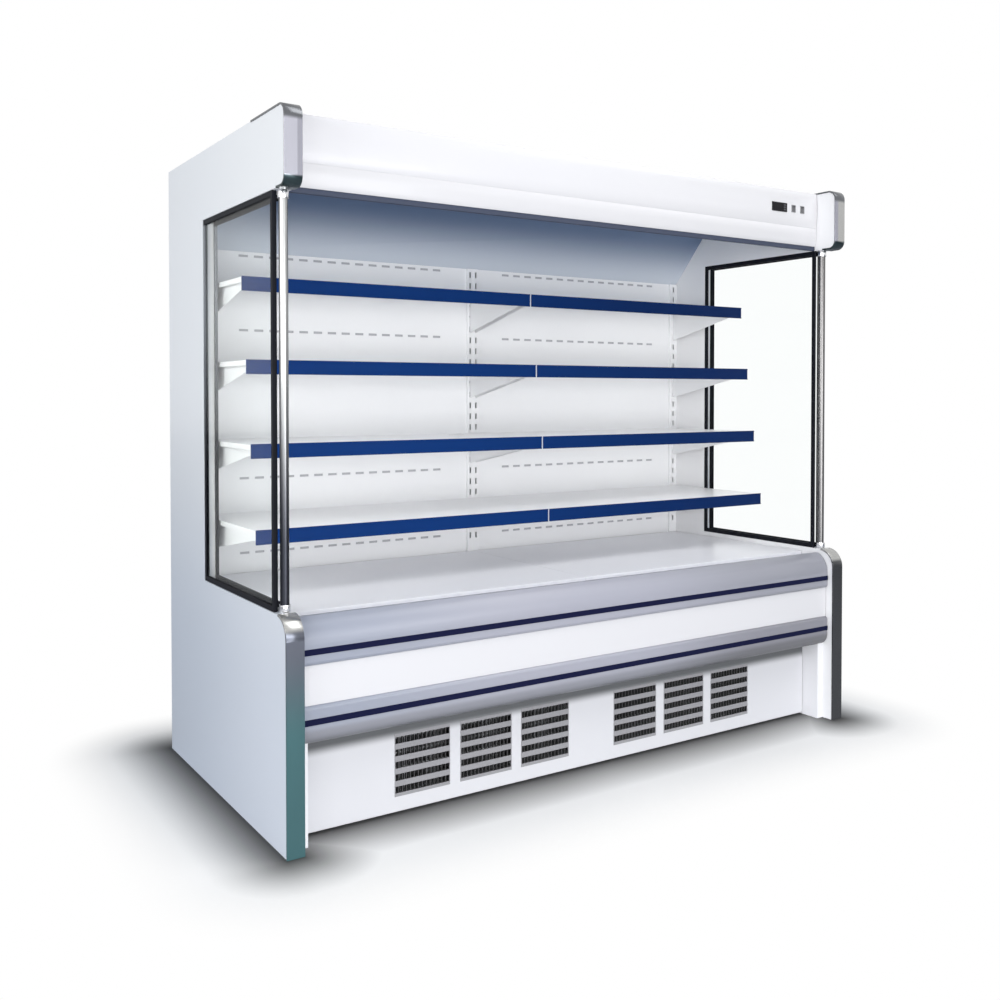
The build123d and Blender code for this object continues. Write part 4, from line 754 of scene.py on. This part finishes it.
# painted shade on the bumpers: a dark lip underside and darker ends
lip_shade = fade(bumper_grey, (0.10, 0.105, 0.11), (0.055, 0.055, 0.06), X_AXIS, LIP_RUN)
lip_curve = fade(bumper_grey, (0.27, 0.275, 0.31), (0.165, 0.165, 0.18), X_AXIS, LIP_RUN)
lip_painted_shade = fade(bumper_grey, lip_shade, lip_curve, Z_AXIS, LIP_RISE)
nose_left = fade(bumper_grey, (0.30, 0.325, 0.395), (0.37, 0.375, 0.435), X_AXIS, NOSE_LEFT_RUN)
nose_right = fade(bumper_grey, (0.26, 0.26, 0.295), (0.31, 0.315, 0.36), Z_AXIS, BETWEEN_BUMPERS)
nose_painted_shade = fade(bumper_grey, nose_left, nose_right, X_AXIS, NOSE_RIGHT_RUN)
fade_all(bumper_grey, lip_painted_shade, nose_painted_shade, Z_AXIS, LIP_TO_NOSE)
for bumper in ("upper_bumper", "lower_bumper"):
    dress(bumper, bumper_grey, edge=0.0008)
insert_navy = finish("insert_navy", (0.010, 0.012, 0.045), (0.008, 0.010, 0.038), (0.5, 0.6),
                     patch_scale=3.0, grain_scale=600.0, grain_depth=0.06,
                     stretch=ALONG_CASE, shine=0.04)
dress("bumper_inserts", insert_navy)
dress("front_panel", white_enamel, edge=0.001)

# ---- Kick plate and its grilles ---------------------------------------------------------
# A lift-off enamelled plate closes the machine space, with six moulded louvres that let the
# condenser breathe. A shadow of the bumper lip is painted along the top of the plate, and the
# louvres are painted near black behind their face as painted shade.
PAINTED_LIP_SHADOW = (0.214, 0.248)
LOUVRE_FACE = (-0.4086, -0.4079)
kick_enamel = stoved("kick_enamel")
# painted shadow: a dark band along the top of the plate, under the bumper lip
fade_all(kick_enamel, (0.75, 0.75, 0.775), (0.12, 0.125, 0.13), Z_AXIS, PAINTED_LIP_SHADOW)
dress("kick_plate", kick_enamel, edge=0.0006)
grille_grey = finish("grille_grey", None, None, (0.4, 0.55),
                     patch_scale=8.0, grain_scale=700.0, grain_depth=0.12, shine=0.3)
# painted shade: the parts behind the louvre face are near black
fade_all(grille_grey, (0.34, 0.335, 0.35), (0.055, 0.055, 0.055), Y_AXIS, LOUVRE_FACE)
dress("kick_grilles", grille_grey)

# ---- Condensing unit ------------------------------------------------------------------------
# Behind the kick plate stand the black steel compressor, the finned
# condenser and the fan that blows through it.
shell_black = finish("shell_black", (0.018, 0.018, 0.02), (0.03, 0.03, 0.032), (0.3, 0.45),
                     patch_scale=8.0, grain_scale=350.0, grain_depth=0.2, coat=0.2)
dress("compressor", shell_black)
fin_metal = finish("fin_metal", (0.66, 0.67, 0.68), (0.58, 0.59, 0.60), (0.3, 0.45),
                   patch_scale=6.0, grain_scale=500.0, grain_depth=0.08, metallic=0.9)
dress("condenser_coil", fin_metal)
dress("condenser_fan_cowl", zinc_sheet)
rotor_plastic = finish("rotor_plastic", (0.05, 0.05, 0.055), (0.07, 0.07, 0.075), (0.35, 0.5),
                       patch_scale=12.0, grain_scale=700.0, grain_depth=0.1)
dress("condenser_fan", rotor_plastic)

# ---- Evaporator under the deck -----------------------------------------------------------
# The finned coil lies in the tub, with two small fans in a zinc-coated plate
# that push the air through it and up the back wall.
dress("evaporator_coil", fin_metal)
dress("evaporator_fan_plate", zinc_sheet)
for fan in ("left_evaporator_fan", "right_evaporator_fan"):
    dress(fan, rotor_plastic)
